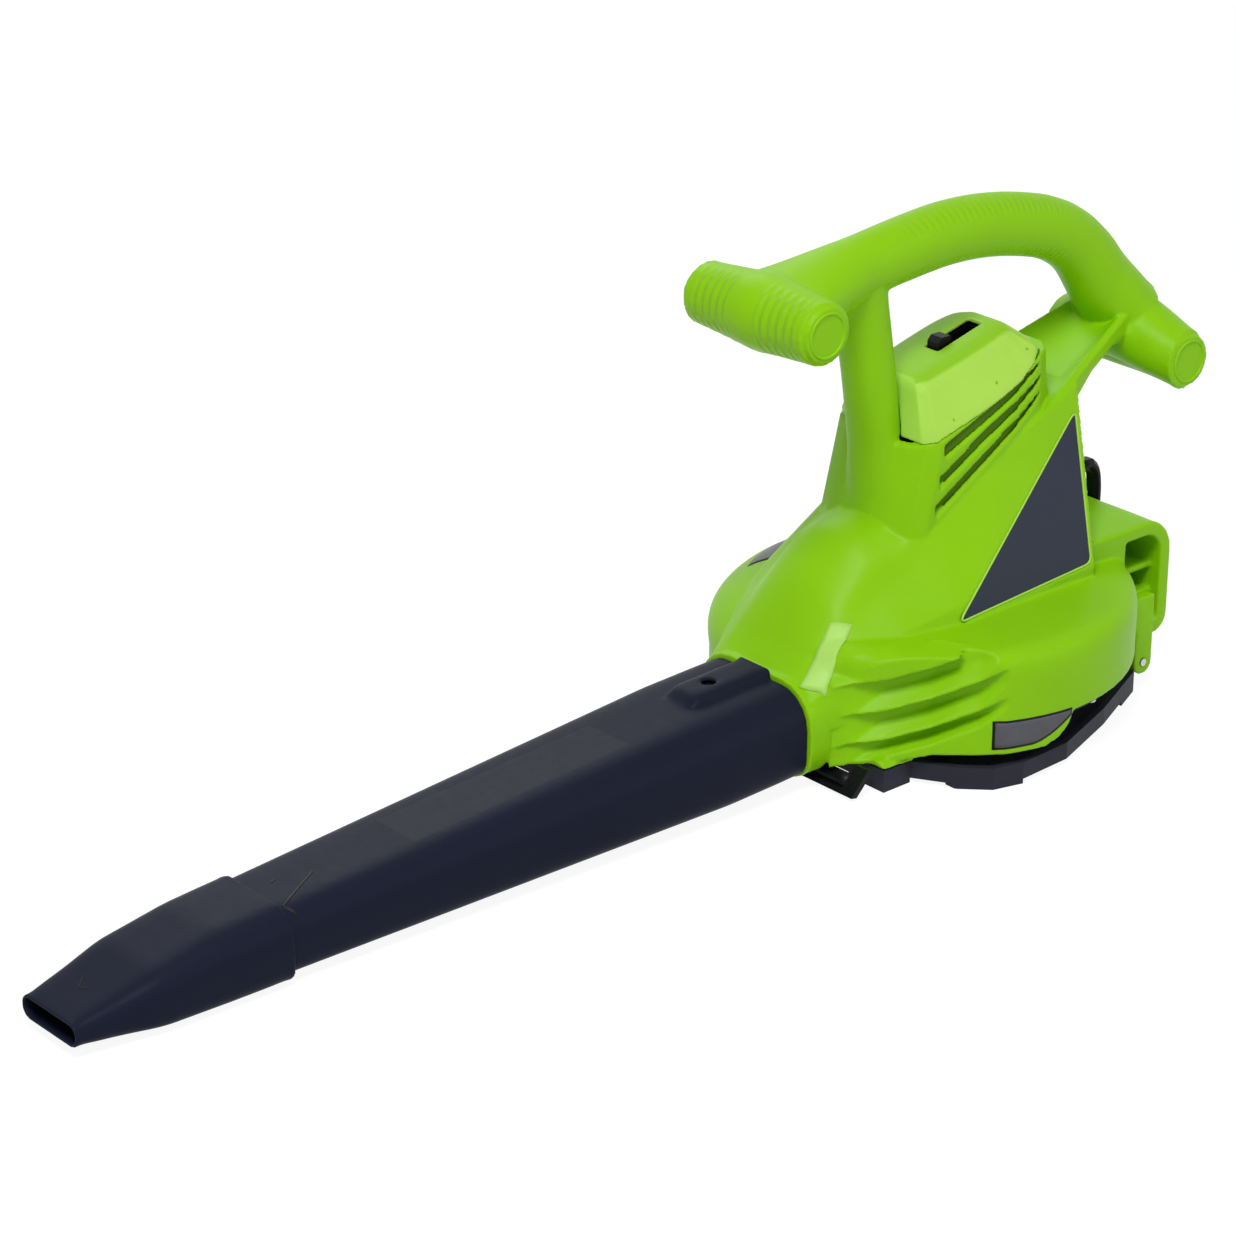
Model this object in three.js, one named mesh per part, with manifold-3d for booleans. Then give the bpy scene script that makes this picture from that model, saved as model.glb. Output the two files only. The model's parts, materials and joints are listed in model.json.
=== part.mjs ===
// Corded electric leaf blower: a two-shell moulded housing round a vertical motor and fan,
// a sliding two-piece blow tube, and a hinged intake guard that the machine stands on.
// Millimetres, +Z up. While it is built, the fan's axis is Z, the floor is z = 0 and the
// tube points along -X; the finished group is then moved to the middle of its own base.
import * as THREE from 'three';
import { mergeVertices } from 'three/addons/utils/BufferGeometryUtils.js';
import Module from 'manifold-3d';

const wasm = await Module();
wasm.setup();

// ---------------------------------------------------------------- driving dimensions
const CLEAR = 0.3;               // between pieces that touch
const SLIDE_CLEAR = 0.4;         // between pieces that slide in each other
const RUN_CLEAR = 2;             // round what spins
const WALL = 3;                  // moulded housing wall
const TUBE_WALL = 2.5;           // blow tube and nozzle wall

const DRUM_R = 132;              // volute drum, outer radius
const DRUM_BOTTOM = 40;          // its lower rim
// Radius and height of the drum's shoulder and crown, on its left and on its right side.
const LEFT_SHOULDER = [[DRUM_R, 74], [DRUM_R - 0.7, 78.5], [DRUM_R - 2.5, 82], [DRUM_R - 5.4, 84.6],
  [DRUM_R - 10, 86.4], [103, 88], [82, 89.5], [60, 91]];
const RIGHT_SHOULDER = [[DRUM_R + 1.2, 50.7], [DRUM_R + 0.3, 56], [DRUM_R - 2.4, 61.6],
  [DRUM_R - 7, 67.1], [DRUM_R - 13, 72.3], [103, 81.5], [82, 88.2], [60, 91.7]];
const SKIRT_BOTTOM = 21.5;       // lower edge of the front skirt
const SKIRT_WALL = 5;
const SKIRT_END = -2;            // where the skirt's edge has climbed back to the rim
const VOLUTE_TOP = 88;           // ceiling of the fan chamber

const GUARD_HALF_X = DRUM_R - 22;    // hinged intake guard under the drum
const GUARD_HALF_Y = DRUM_R - 52;
const GUARD_SIDE = [[55, DRUM_R - 27], [2, DRUM_R - 8.5], [-38, DRUM_R - 6.5],
  [-58, DRUM_R - 12], [-73, DRUM_R - 27], [22 - GUARD_HALF_X, GUARD_HALF_Y]];

const TUBE_DROP = 0.0355;        // fall of the blow tube per mm of its length
const ROOT_X = -GUARD_HALF_X - 36;   // face of the duct flange, in front of the guard's latch
const TUBE_Y = -5.5;             // the outlet sits a little to the left of the middle
const ROOT_W = 93;               // tube's width and height at the root
const ROOT_H = 56;
const ROOT_Z = ROOT_H / 2 + 9;   // centre of the tube at that face
const TUBE_L = 370;              // tube that shows between the duct and the nozzle
const NOZZLE_L = 82;             // straight length of the nozzle,
const TIP_L = 52;                // and of the tip that flattens
const JOINT_X = ROOT_X - TUBE_L;     // rear edge of the nozzle
const JOINT_W = 68;              // tube's width and height there
const JOINT_H = 38;
const TUBE_PLUG = 38;            // how far the tube goes into the nozzle
const KINK_X = JOINT_X - NOZZLE_L;   // where the nozzle starts to flatten
const KINK_Z = 19;               // centre of the nozzle there
const KINK_W = 68;
const KINK_H = 32;
const MOUTH_X = KINK_X - TIP_L;
const MOUTH_W = 51;
const MOUTH_H = 13.6;
const MOUTH_Z = 13.7;            // centre of the mouth
const DUCT_MIDDLE = ROOT_X + 34; // where the duct starts to widen into the drum
const SPIGOT_L = 50;             // collar of the duct that the tube slides on
const SPINE_W = 27;              // raised spine on top of the tube's root
const SPINE_H = 6;
const SPINE_L = 69;
const LOCK_X = ROOT_X - 38;      // lock button, and the hole over it
const LOCK_HOLE_R = 4.5;
const LOCK_R = 4;
const FLANGE_L = 16;             // green flange behind the tube
const FLANGE_OVER = 2.5;         // how far it stands out beyond the tube

const RIDGES = [67, 47, 28, 15.5];           // ridges of the gilled cheek, at the flange
// The cheek runs straight from the flange's edge to a point on the drum, bowed a little.
const CHEEK_START = [ROOT_X + FLANGE_L, TUBE_Y - ROOT_W / 2 - FLANGE_OVER + 1];
const CHEEK_END = [-0.379 * DRUM_R, -0.9255 * DRUM_R];
// Share of that run, bow, underside, top, fall of the top towards the outer edge, rise of the
// ridges and depth of the gills.
const CHEEK = [
  { share: 0, bow: 0, low: 13, top: 65.5, fall: 4, rise: -1.5, depth: 0.3 },
  { share: 0.12, bow: -0.8, low: 14.8, top: 68, fall: 5, rise: 1, depth: 2.5 },
  { share: 0.3, bow: 0, low: 16, top: 71, fall: 8, rise: 4, depth: 10 },
  { share: 0.58, bow: 0.8, low: SKIRT_BOTTOM, top: 80, fall: 10, rise: 13, depth: 14 },
  { share: 0.84, bow: 1.4, low: SKIRT_BOTTOM, top: 82, fall: 5, rise: 24, depth: 9 },
  { share: 1, bow: 0, low: SKIRT_BOTTOM, top: 74, fall: 8, rise: 31.5, depth: 0.5 },
];
const CHEEK_IN = [0.68, 0.73];   // direction of the gills' depth in plan
const CHEEK_BACK = 5;            // solid behind the deepest line of the gills
const GILL_LIP = 1.6;            // thickness of a ridge's edge

const POD_Y = 43;                // half width of the motor pod
const POD_FRONT = -POD_Y - 21;   // its front, clear of the motor's brackets
const POD_REAR = 84;
const POD_STEP = 132;            // height of the step at the pod's foot
const SEAM_FRONT = 190;          // joint of pod and motor cover, at its front corner
const SEAM_RISE = 0.305;         // its climb per mm
const SEAM_TOP = 226;            // and its height at the rear
const POD_TAPER = 8;             // the pod's rear leans forwards by this much
const COVER_FRONT = POD_FRONT + 24;   // the cover starts behind the handle's pillar
const COVER_REAR = 66;
const COVER_TOP = 240;

const ARCH_TOP = 304;            // highest point of the handle's middle line
const PILLAR_Y = 36;             // width of the pillar across the machine
const ARCH_W = 35;               // handle section
const ARCH_H = 40;
const GRIP_END_R = 19;           // T grips at both ends of the arch: at their ends,
const GRIP_SIDE_R = 21.5;        // halfway out,
const FRONT_BELLY_R = 23.7;      // and in the middle
const REAR_BELLY_R = 23;
const GRIP_HALF = 50;
const FRONT_GRIP = [-138, ARCH_TOP - 17];    // x and z of their axes
const REAR_GRIP = [177, ARCH_TOP - 107];
const GRIP_GROOVES = 10;

const BOX_FRONT = DRUM_R - 24;           // open box behind the drum
const BOX_REAR = DRUM_R + 27;
const BOX_BOTTOM = 23.5;         // clear of the guard's knuckles
const BOX_TOP = 102;
const BOX_HALF = 62;
const BOX_WALL = 9;

const FOOT_H = 3;                // feet stand out below the guard's band
const GUARD_H = 14;
const GUARD_BAND = 4;
const HINGE_X = GUARD_HALF_X + 9;
const HINGE_Z = GUARD_H + 3;
const HINGE_PIN_R = 2.5;
const INTAKE_R = 60;             // air intake in the volute's floor
const FLOOR_T = 4;

const SHAFT_R = 5;
const FAN_R = DRUM_R - 34;
const FAN_BOTTOM = DRUM_BOTTOM + 4;
const FAN_PLATE = VOLUTE_TOP - 18;   // underside of the fan's back plate
const FAN_BLADES = 12;
const BLADE_T = 2.2;
const MOTOR_FLOOR = VOLUTE_TOP + 12;
const ARMATURE_R = 21;
const FIELD_R = POD_Y - 7;       // leaves room for the brush holders in the pod
const FIELD_BOTTOM = MOTOR_FLOOR + 34;
const FIELD_H = 40;
const FIELD_TOP = FIELD_BOTTOM + FIELD_H;
const BEARING_R = 13;
const BEARING_H = 9;
const LOWER_BEARING = MOTOR_FLOOR - 3;
const UPPER_BEARING = FIELD_TOP + 29;

const SWITCH_TRAVEL = 12;

// ---------------------------------------------------------------- materials
const paint = (color, roughness, metalness = 0) =>
  new THREE.MeshStandardMaterial({ color, roughness, metalness });
const GREEN = paint(0x7eba0a, 0.45);
const LIGHT_GREEN = paint(0x93cc2a, 0.5);
const CHARCOAL = paint(0x262a3a, 0.55);
const BLACK = paint(0x0c0c10, 0.6);
const STEEL = paint(0x9a9da2, 0.35, 0.9);
const BRASS = paint(0xb9933c, 0.4, 0.9);
const COPPER = paint(0xb06a36, 0.4, 0.9);
const LAMINATION = paint(0x6d7075, 0.5, 0.8);
const CARBON = paint(0x2b2b2e, 0.9);
const FAN_GREY = paint(0x55585e, 0.6);

// ---------------------------------------------------------------- solid helpers
function toSolid(geometry) {
  const flat = geometry.index ? geometry.toNonIndexed() : geometry.clone();
  for (const name of Object.keys(flat.attributes)) {
    if (name !== 'position') flat.deleteAttribute(name);
  }
  const merged = mergeVertices(flat, 1e-4);
  const at = merged.attributes.position;
  const index = [];
  for (let i = 0; i < merged.index.count; i += 3) {
    const tri = [0, 1, 2].map((k) => merged.index.getX(i + k));
    if (new Set(tri).size === 3) index.push(...tri);
  }
  const corner = (k) => new THREE.Vector3().fromBufferAttribute(at, index[k]);
  let volume = 0;
  for (let i = 0; i < index.length; i += 3) {
    volume += corner(i).dot(corner(i + 1).cross(corner(i + 2)));
  }
  if (volume < 0) index.reverse();
  const mesh = new wasm.Mesh({
    numProp: 3,
    vertProperties: new Float32Array(at.array),
    triVerts: new Uint32Array(index),
  });
  return new wasm.Manifold(mesh);
}

const join = (first, ...rest) => rest.reduce((sum, next) => sum.add(next), first);
const cut = (first, ...rest) => rest.reduce((left, next) => left.subtract(next), first);
const flipY = (solid) => solid.mirror([0, 1, 0]);
const bothSides = (solid) => solid.add(flipY(solid));

function box(x0, x1, y0, y1, z0, z1) {
  const geometry = new THREE.BoxGeometry(x1 - x0, y1 - y0, z1 - z0);
  return toSolid(geometry.translate((x0 + x1) / 2, (y0 + y1) / 2, (z0 + z1) / 2));
}

function rod(radius, z0, z1, sides = 24, x = 0, y = 0) {
  const geometry = new THREE.CylinderGeometry(radius, radius, z1 - z0, sides);
  return toSolid(geometry.rotateX(Math.PI / 2).translate(x, y, (z0 + z1) / 2));
}

function rodAlongY(radius, y0, y1, x, z, sides = 16) {
  const geometry = new THREE.CylinderGeometry(radius, radius, y1 - y0, sides);
  return toSolid(geometry.translate(x, (y0 + y1) / 2, z));
}

function revolve(profile, sides = 56) {
  const points = profile.map(([r, z]) => new THREE.Vector2(r, z));
  points.push(points[0]);
  return toSolid(new THREE.LatheGeometry(points, sides).rotateX(Math.PI / 2));
}

// A plan outline pushed up from z0 to z1.
function prism(outline, z0, z1, holes = []) {
  const shape = outline.getPoints ? outline : new THREE.Shape(toPoints(outline));
  shape.holes.push(...holes.map((hole) => new THREE.Path(toPoints(hole))));
  const geometry = new THREE.ExtrudeGeometry(shape, {
    depth: z1 - z0, bevelEnabled: false, curveSegments: 12,
  });
  return toSolid(geometry.translate(0, 0, z0));
}

const toPoints = (pairs) => pairs.map(([x, y]) => new THREE.Vector2(x, y));

// A side outline of x and z, pushed along Y from y0 to y1.
function sidePrism(outline, y0, y1) {
  const shape = new THREE.Shape(toPoints(outline));
  const geometry = new THREE.ExtrudeGeometry(shape, { depth: y1 - y0, bevelEnabled: false });
  return toSolid(geometry.rotateX(Math.PI / 2).translate(0, y1, 0));
}

// A closed skin over rings of equally many points, with a fan over each end.
function loft(rings) {
  const count = rings[0].length;
  const positions = rings.flat().flatMap((p) => [p.x, p.y, p.z]);
  const index = [];
  for (let r = 0; r + 1 < rings.length; r += 1) {
    for (let i = 0; i < count; i += 1) {
      const a = r * count + i;
      const b = r * count + ((i + 1) % count);
      index.push(a, b, a + count, b, b + count, a + count);
    }
  }
  [[rings[0], 0], [rings.at(-1), (rings.length - 1) * count]].forEach(([ring, start], end) => {
    const centre = ring.reduce((sum, p) => sum.add(p), new THREE.Vector3()).divideScalar(count);
    const hub = positions.length / 3;
    positions.push(centre.x, centre.y, centre.z);
    for (let i = 0; i < count; i += 1) {
      const a = start + i;
      const b = start + ((i + 1) % count);
      index.push(...(end ? [a, b, hub] : [b, a, hub]));
    }
  });
  const geometry = new THREE.BufferGeometry();
  geometry.setAttribute('position', new THREE.Float32BufferAttribute(positions, 3));
  geometry.setIndex(index);
  return toSolid(geometry);
}

// Rounded rectangle as a ring of u, v pairs, with its own radius at the top and the bottom.
function roundedRing(width, height, top, bottom, steps = 5) {
  const corners = [
    [1, 1, 0, top], [-1, 1, 1, top], [-1, -1, 2, bottom], [1, -1, 3, bottom],
  ];
  return corners.flatMap(([su, sv, quarter, radius]) => {
    const r = Math.min(radius, width / 2 - 0.01, height / 2 - 0.01);
    return Array.from({ length: steps + 1 }, (_, i) => {
      const angle = (quarter + i / steps) * Math.PI / 2;
      const u = su * (width / 2 - r) + r * Math.cos(angle);
      const v = sv * (height / 2 - r) + r * Math.sin(angle);
      return [u, v];
    });
  });
}

function ovalRing(width, height, steps = 20) {
  return Array.from({ length: steps }, (_, i) => {
    const angle = (i / steps) * Math.PI * 2;
    return [width / 2 * Math.cos(angle), height / 2 * Math.sin(angle)];
  });
}

// Places a ring across the X axis, at x, centred on height z and on the tube unless y is given.
const acrossX = (ring, x, z, y = TUBE_Y) =>
  ring.map(([u, v]) => new THREE.Vector3(x, y + u, z + v));

const mix = (a, b, t) => a + (b - a) * t;

// ---------------------------------------------------------------- blow tube and nozzle
const tubeZ = (x) => ROOT_Z + (x - ROOT_X) * TUBE_DROP;
const SPIGOT_X = ROOT_X - SPIGOT_L;
const TUBE_END = JOINT_X - TUBE_PLUG;
const ROUND_TOP = 0.42;                         // corner radii as shares of the height
const ROUND_BOTTOM = 0.25;
const MOUTH_ROUND = 0.45;                       // the mouth's lower corners are rounder

function tubeRing(x, inset) {
  const share = Math.max(0, SPIGOT_X - 8 - x) / (SPIGOT_X - 8 - JOINT_X);
  const width = mix(ROOT_W, JOINT_W, share) - 2 * inset;
  const height = mix(ROOT_H, JOINT_H, share) - 2 * inset;
  const ring = roundedRing(width, height, height * ROUND_TOP, height * ROUND_BOTTOM);
  return acrossX(ring, x, tubeZ(x));
}

function spineRing(x, width, top) {
  const low = tubeZ(x);
  const side = width / 2;
  return [[side, low], [side, top - 2], [side - 2, top], [2 - side, top], [-side, top - 2],
    [-side, low]].map(([y, z]) => new THREE.Vector3(x, TUBE_Y + y, z));
}

function spine(inset, length) {
  const front = ROOT_X - length;
  const top = (x) => tubeZ(x) + ROOT_H / 2 + SPINE_H - inset;
  const width = SPINE_W - 2 * inset;
  return loft([
    spineRing(ROOT_X - CLEAR + (inset ? 1 : 0), width, top(ROOT_X)),
    spineRing(front + 14, width, top(front + 14)),
    spineRing(front, width - 10, tubeZ(front) + ROOT_H / 2 - inset - 3),
  ]);
}

function makeTube() {
  const start = ROOT_X - CLEAR;
  const stations = [SPIGOT_X - 8, JOINT_X, TUBE_END];
  const outer = loft([start, ...stations].map((x) => tubeRing(x, 0)));
  const inner = loft([start + 1, ...stations.slice(0, 2), TUBE_END - 1]
    .map((x) => tubeRing(x, TUBE_WALL)));
  const hole = rod(LOCK_HOLE_R, tubeZ(LOCK_X), tubeZ(LOCK_X) + ROOT_H, 16, LOCK_X, TUBE_Y);
  return cut(join(outer, spine(0, SPINE_L)), inner, spine(TUBE_WALL, SPINE_L - 4), hole);
}

function nozzleRing(x, z, width, height, inset, roundBottom = ROUND_BOTTOM) {
  const [w, h] = [width - 2 * inset, height - 2 * inset];
  return acrossX(roundedRing(w, h, h * ROUND_TOP, h * roundBottom), x, z);
}

function makeNozzle() {
  const over = TUBE_WALL + SLIDE_CLEAR;
  const slip = (x, inset) => tubeRing(x, inset - over);
  const half = mix(KINK_X, MOUTH_X, 0.5);
  const taper = (inset, more) => [
    nozzleRing(KINK_X, KINK_Z, KINK_W, KINK_H, inset),
    nozzleRing(half, mix(KINK_Z, MOUTH_Z, 0.55), mix(KINK_W, MOUTH_W, 0.55),
      mix(KINK_H, MOUTH_H, 0.52), inset, MOUTH_ROUND * 0.8),
    nozzleRing(MOUTH_X - more, MOUTH_Z, MOUTH_W, MOUTH_H, inset * 0.7, MOUTH_ROUND),
  ];
  const outer = loft([slip(JOINT_X, 0), slip(TUBE_END - 2, 0), ...taper(0, 0)]);
  const inner = loft([slip(JOINT_X + 1, TUBE_WALL), slip(TUBE_END - 2, TUBE_WALL),
    ...taper(TUBE_WALL, 1)]);
  return outer.subtract(inner);
}

// ---------------------------------------------------------------- housing, outside
// Moves a profile of radius and height inwards by an amount.
function shrink(profile, inset) {
  return profile.map(([r, z], k) => {
    if (k === 0) return [r - inset, z];
    const [from, to] = [profile[k - 1], profile[Math.min(k + 1, profile.length - 1)]];
    const run = Math.hypot(to[0] - from[0], to[1] - from[1]);
    return [r - inset * (to[1] - from[1]) / run, z + inset * (to[0] - from[0]) / run];
  });
}

// The drum as rings from its lower rim to its crown; each side has its own shoulder.
function drumBody(inset, bottom, sides) {
  const profiles = [LEFT_SHOULDER, RIGHT_SHOULDER]
    .map((shoulder) => shrink([[DRUM_R, bottom], ...shoulder], inset));
  return loft(profiles[0].map((_, k) => Array.from({ length: sides }, (_, i) => {
    const angle = (i / sides) * 2 * Math.PI;
    const share = THREE.MathUtils.smoothstep(Math.sin(angle), -0.35, 0.35);
    const [r, z] = [0, 1].map((axis) => mix(profiles[0][k][axis], profiles[1][k][axis], share));
    return vec(r * Math.cos(angle), r * Math.sin(angle), z);
  })));
}

const NEAR_EDGE = ROOT_W / 2 + FLANGE_OVER - TUBE_Y;     // flange edges from the middle plane
const FAR_EDGE = ROOT_W / 2 + FLANGE_OVER + TUBE_Y;

function cheekPoint(place, depth, z) {
  const [x, y] = [0, 1].map((axis) => mix(CHEEK_START[axis], CHEEK_END[axis], place.share)
    + CHEEK_IN[axis] * (depth - place.bow));
  return vec(x, y, z);
}

// The cheek fills the corner between the flange and the left side of the drum.
function cheek() {
  return loft(CHEEK.map((place) => {
    const back = place.depth + CHEEK_BACK;
    return [cheekPoint(place, 0, place.low), cheekPoint(place, 0, place.top),
      cheekPoint(place, back, place.top + place.fall), cheekPoint(place, back, place.low)];
  }));
}

// Gills between the cheek's ridges: deep under each ridge, running out at the next one.
function gills() {
  const out = -3;
  return join(...RIDGES.slice(1).map((level, i) => loft(CHEEK.map((place) => {
    const top = RIDGES[i] + place.rise - GILL_LIP;
    const bottom = level + place.rise;
    return [cheekPoint(place, out, top), cheekPoint(place, place.depth, top + 1),
      cheekPoint(place, place.depth * 0.85, mix(top, bottom, 0.5)),
      cheekPoint(place, 0, bottom), cheekPoint(place, out, bottom)];
  }))));
}

// Everything outside a line that lies a distance behind the cheek's outer edge.
function outsideCheek(back) {
  const line = CHEEK.map((place) => {
    const at = cheekPoint(place, back ? place.depth + back : 0, 0);
    return [at.x, at.y];
  });
  const far = DRUM_R + 40;
  return prism([...line, [line.at(-1)[0], -far], [-far, -far], [-far, line[0][1]]],
    -5, VOLUTE_TOP + 22);
}

// A foot of the cheek comes down over the front corner of the guard.
function cornerFoot() {
  const ring = (outline, z) => outline.map(([x, y]) => vec(x, y, z));
  const [front, side] = [-GUARD_HALF_X, -GUARD_HALF_Y];
  return loft([
    ring([[front, side + 18], [front, side], [front + 22, side - 2], [front + 28, side + 2],
      [front + 28, side + 18]], GUARD_H + 1),
    ring([[front - 3, side + 18], [front + 2, side + 9], [front + 18, side - 6],
      [front + 28, side], [front + 28, side + 18]], SKIRT_BOTTOM + 2.5),
  ]);
}

function skirt() {
  const ring = revolve([
    [DRUM_R - SKIRT_WALL, SKIRT_BOTTOM], [DRUM_R, SKIRT_BOTTOM],
    [DRUM_R, DRUM_BOTTOM + 1], [DRUM_R - SKIRT_WALL, DRUM_BOTTOM + 1],
  ]);
  const front = sidePrism([[-DRUM_R - 1, SKIRT_BOTTOM - 1], [SKIRT_END - 24, SKIRT_BOTTOM - 1],
    [SKIRT_END - 11, SKIRT_BOTTOM + 4], [SKIRT_END - 4, SKIRT_BOTTOM + 11],
    [SKIRT_END, DRUM_BOTTOM + 2], [-DRUM_R - 1, DRUM_BOTTOM + 2]], -DRUM_R - 1, DRUM_R + 1);
  return ring.intersect(front);
}

function ductRing(x, y, width, z0, z1, radius) {
  return acrossX(roundedRing(width, z1 - z0, radius, radius * 0.7), x, (z0 + z1) / 2, y);
}

function duct() {
  const low = tubeZ(ROOT_X) - ROOT_H / 2;
  const high = tubeZ(ROOT_X) + ROOT_H / 2;
  const body = loft([
    ductRing(ROOT_X + 1, TUBE_Y, ROOT_W - 4, low + 2, high - 1, 20),
    ductRing(DUCT_MIDDLE, TUBE_Y, ROOT_W + 4, low + 8, high + 2, 16),
    ductRing(DUCT_MIDDLE + 42, 0, ROOT_W + 21, low + 24, high + 10, 12),
  ]);
  const flange = loft([ROOT_X, ROOT_X + FLANGE_L].map((x) => acrossX(
    roundedRing(ROOT_W + 2 * FLANGE_OVER, ROOT_H + 2 * FLANGE_OVER, 26, 20), x, tubeZ(ROOT_X))));
  return join(body, flange);
}

function spigot() {
  const gap = TUBE_WALL + SLIDE_CLEAR;
  return loft([SPIGOT_X, ROOT_X + 2].map((x) => tubeRing(x, gap)));
}

function ductBore() {
  const inset = 2 * TUBE_WALL + SLIDE_CLEAR;
  return loft([
    tubeRing(SPIGOT_X - 1, inset),
    tubeRing(ROOT_X, inset),
    ductRing(DUCT_MIDDLE, TUBE_Y, ROOT_W - 10, 26, 66, 16),
    ductRing(DUCT_MIDDLE + 52, 0, ROOT_W - 3, 44, 84, 8),
  ]);
}

// The shoulders: at each station the centre, ridge, knee and foot of a cross-section.
const FLANK_LEAN = 0.357;                       // run of the flank per mm of height
const FLANK_Y = 45;                             // its half width at FLANK_Z
const FLANK_Z = 180;
const flankY = (z) => FLANK_Y + (FLANK_Z - z) * FLANK_LEAN;
const REAR_LEAN = 0.165;                        // lean of the shoulders' rear wall
const rearX = (z) => 73 + (z - 94) * REAR_LEAN;

function shoulderRing(x, top, ridge, knee, foot, bottom, shift = 0) {
  const half = [[0, top], [ridge[0] * 0.35, mix(top, ridge[1], 0.1)],
    [ridge[0] * 0.7, mix(top, ridge[1], 0.42)], ridge, knee, foot, [foot[0], bottom]];
  const mirrored = half.slice(1).map(([y, z]) => [-y, z]).reverse();
  return [...half, ...mirrored].map(([y, z]) => new THREE.Vector3(x(z), y + shift, z));
}

function shoulders() {
  const at = (x) => () => x;
  const knee = (z) => [flankY(z), z];
  return loft([
    shoulderRing(at(ROOT_X + 2), 66, [34, 63], [44, 57], [47, 45], 36, TUBE_Y),
    shoulderRing(at(ROOT_X + 15), 78, [38, 72], [47, 64], [50, 52], 38, TUBE_Y * 0.8),
    shoulderRing(at(ROOT_X + 39), 111, [43, 88], [56, 77], [61, 66], 44, TUBE_Y * 0.4),
    shoulderRing(at(ROOT_X + 66), 138, [43, 106], [64, 90], [72, 78], 60),
    shoulderRing(at(-38), 150, [43, 138], knee(101), knee(90), 75),
    shoulderRing(at(4), 168, [43, 162], knee(132), knee(92), 75),
    shoulderRing(at(50), 186, [42, 186], knee(163), knee(94), 75),
    shoulderRing(rearX, 198, [38, 200], knee(188), knee(94), 75),
  ]);
}

// The legs of the shoulders run on, rise and meet under the rear end of the handle.
function legs() {
  const ring = (x, half, ridge, dip, low) => [
    [0, ridge - dip], [half * 0.6, ridge - dip * 0.75], [half - 3, ridge], [half, ridge - 3],
    [half, low + 6], [half - 5, low], [0, low], [5 - half, low], [-half, low + 6],
    [-half, ridge - 3], [3 - half, ridge], [-half * 0.6, ridge - dip * 0.75],
  ].map(([y, z]) => new THREE.Vector3(x, y, z));
  return loft([ring(60, 42, 189, 6, 160), ring(84, 38, 201, 8, 176), ring(110, 32, 212, 9, 195),
    ring(140, 25, 224, 7, 207), ring(168, 19, 235, 2, 205), ring(180, 15, 234, 0, 203)]);
}

function podOutline(front, side, rear) {
  return [[front, 0], [front + 1, side * 0.28], [front + 4, side * 0.6], [front + 10, side * 0.88],
    [front + 19, side], [20, side], [36, side - 1], [50, side - 3], [58, side - 5],
    [rear - 8, side - 11], [rear, side - 22], [rear, 0]];
}

function podRing(front, side, rear, height) {
  const half = podOutline(front, side, rear);
  const mirrored = half.slice(1, -1).map(([x, y]) => [x, -y]).reverse();
  return [...half, ...mirrored].map(([x, y]) => new THREE.Vector3(x, y, height(x)));
}

// The seam climbs evenly along the side and turns up towards the rear of the cover.
const seamZ = (x) => Math.min(SEAM_TOP,
  SEAM_FRONT + (x - COVER_FRONT) * SEAM_RISE + 0.007 * Math.max(0, x - 25) ** 2);

function pod() {
  return loft([
    podRing(POD_FRONT - 2, POD_Y, POD_REAR - 2, () => 86),
    podRing(POD_FRONT + 1, POD_Y, POD_REAR, () => POD_STEP),
    podRing(POD_FRONT + 15, POD_Y - 1, POD_REAR - POD_TAPER, seamZ),
  ]);
}

// ---------------------------------------------------------------- handle
const vec = (x, y, z) => new THREE.Vector3(x, y, z);

function sweepRings(points, sizes, across, steps, power = 20) {
  const curve = new THREE.CatmullRomCurve3(points);
  return Array.from({ length: steps + 1 }, (_, i) => {
    const t = i / steps;
    const centre = curve.getPoint(t);
    const tangent = curve.getTangent(t);
    const up = new THREE.Vector3().crossVectors(tangent, across).normalize();
    const place = t * (sizes.length - 1);
    const slot = Math.min(Math.floor(place), sizes.length - 2);
    const width = mix(sizes[slot][0], sizes[slot + 1][0], place - slot);
    const height = mix(sizes[slot][1], sizes[slot + 1][1], place - slot);
    return ovalRing(width, height, power).map(([u, v]) => centre.clone()
      .addScaledVector(across, u).addScaledVector(up, v));
  });
}

function arch() {
  const drops = [[FRONT_GRIP[0] + 4, 17], [-104, 12], [-70, 7], [-35, 3], [5, 0], [40, 2], [72, 8],
    [101, 17], [127, 34], [147, 59], [168, 83]];
  const path = drops.map(([x, drop]) => vec(x, 0, ARCH_TOP - drop));
  const sizes = [[86, 39], [56, 40], [ARCH_W, ARCH_H], [ARCH_W, ARCH_H], [ARCH_W, ARCH_H],
    [ARCH_W, ARCH_H], [ARCH_W, ARCH_H], [ARCH_W, 41], [40, 44], [58, 48]];
  return loft(sweepRings(path, sizes, vec(0, 1, 0), 18, 18));
}

const PILLAR_PATH = [[-40, 128], [-46, 185], [-57, 255], [-66, ARCH_TOP - 12]]
  .map(([x, z]) => vec(x, 0, z));
const pillarSizes = (grow) => [[8, 40], [2, 30], [-2, 34], [-2, 42]]
  .map(([wide, deep]) => [PILLAR_Y + wide - 2 + 2 * grow, deep + 2 * grow]);

function pillar() {
  return loft(sweepRings(PILLAR_PATH, pillarSizes(0), vec(0, 1, 0), 6));
}

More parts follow.
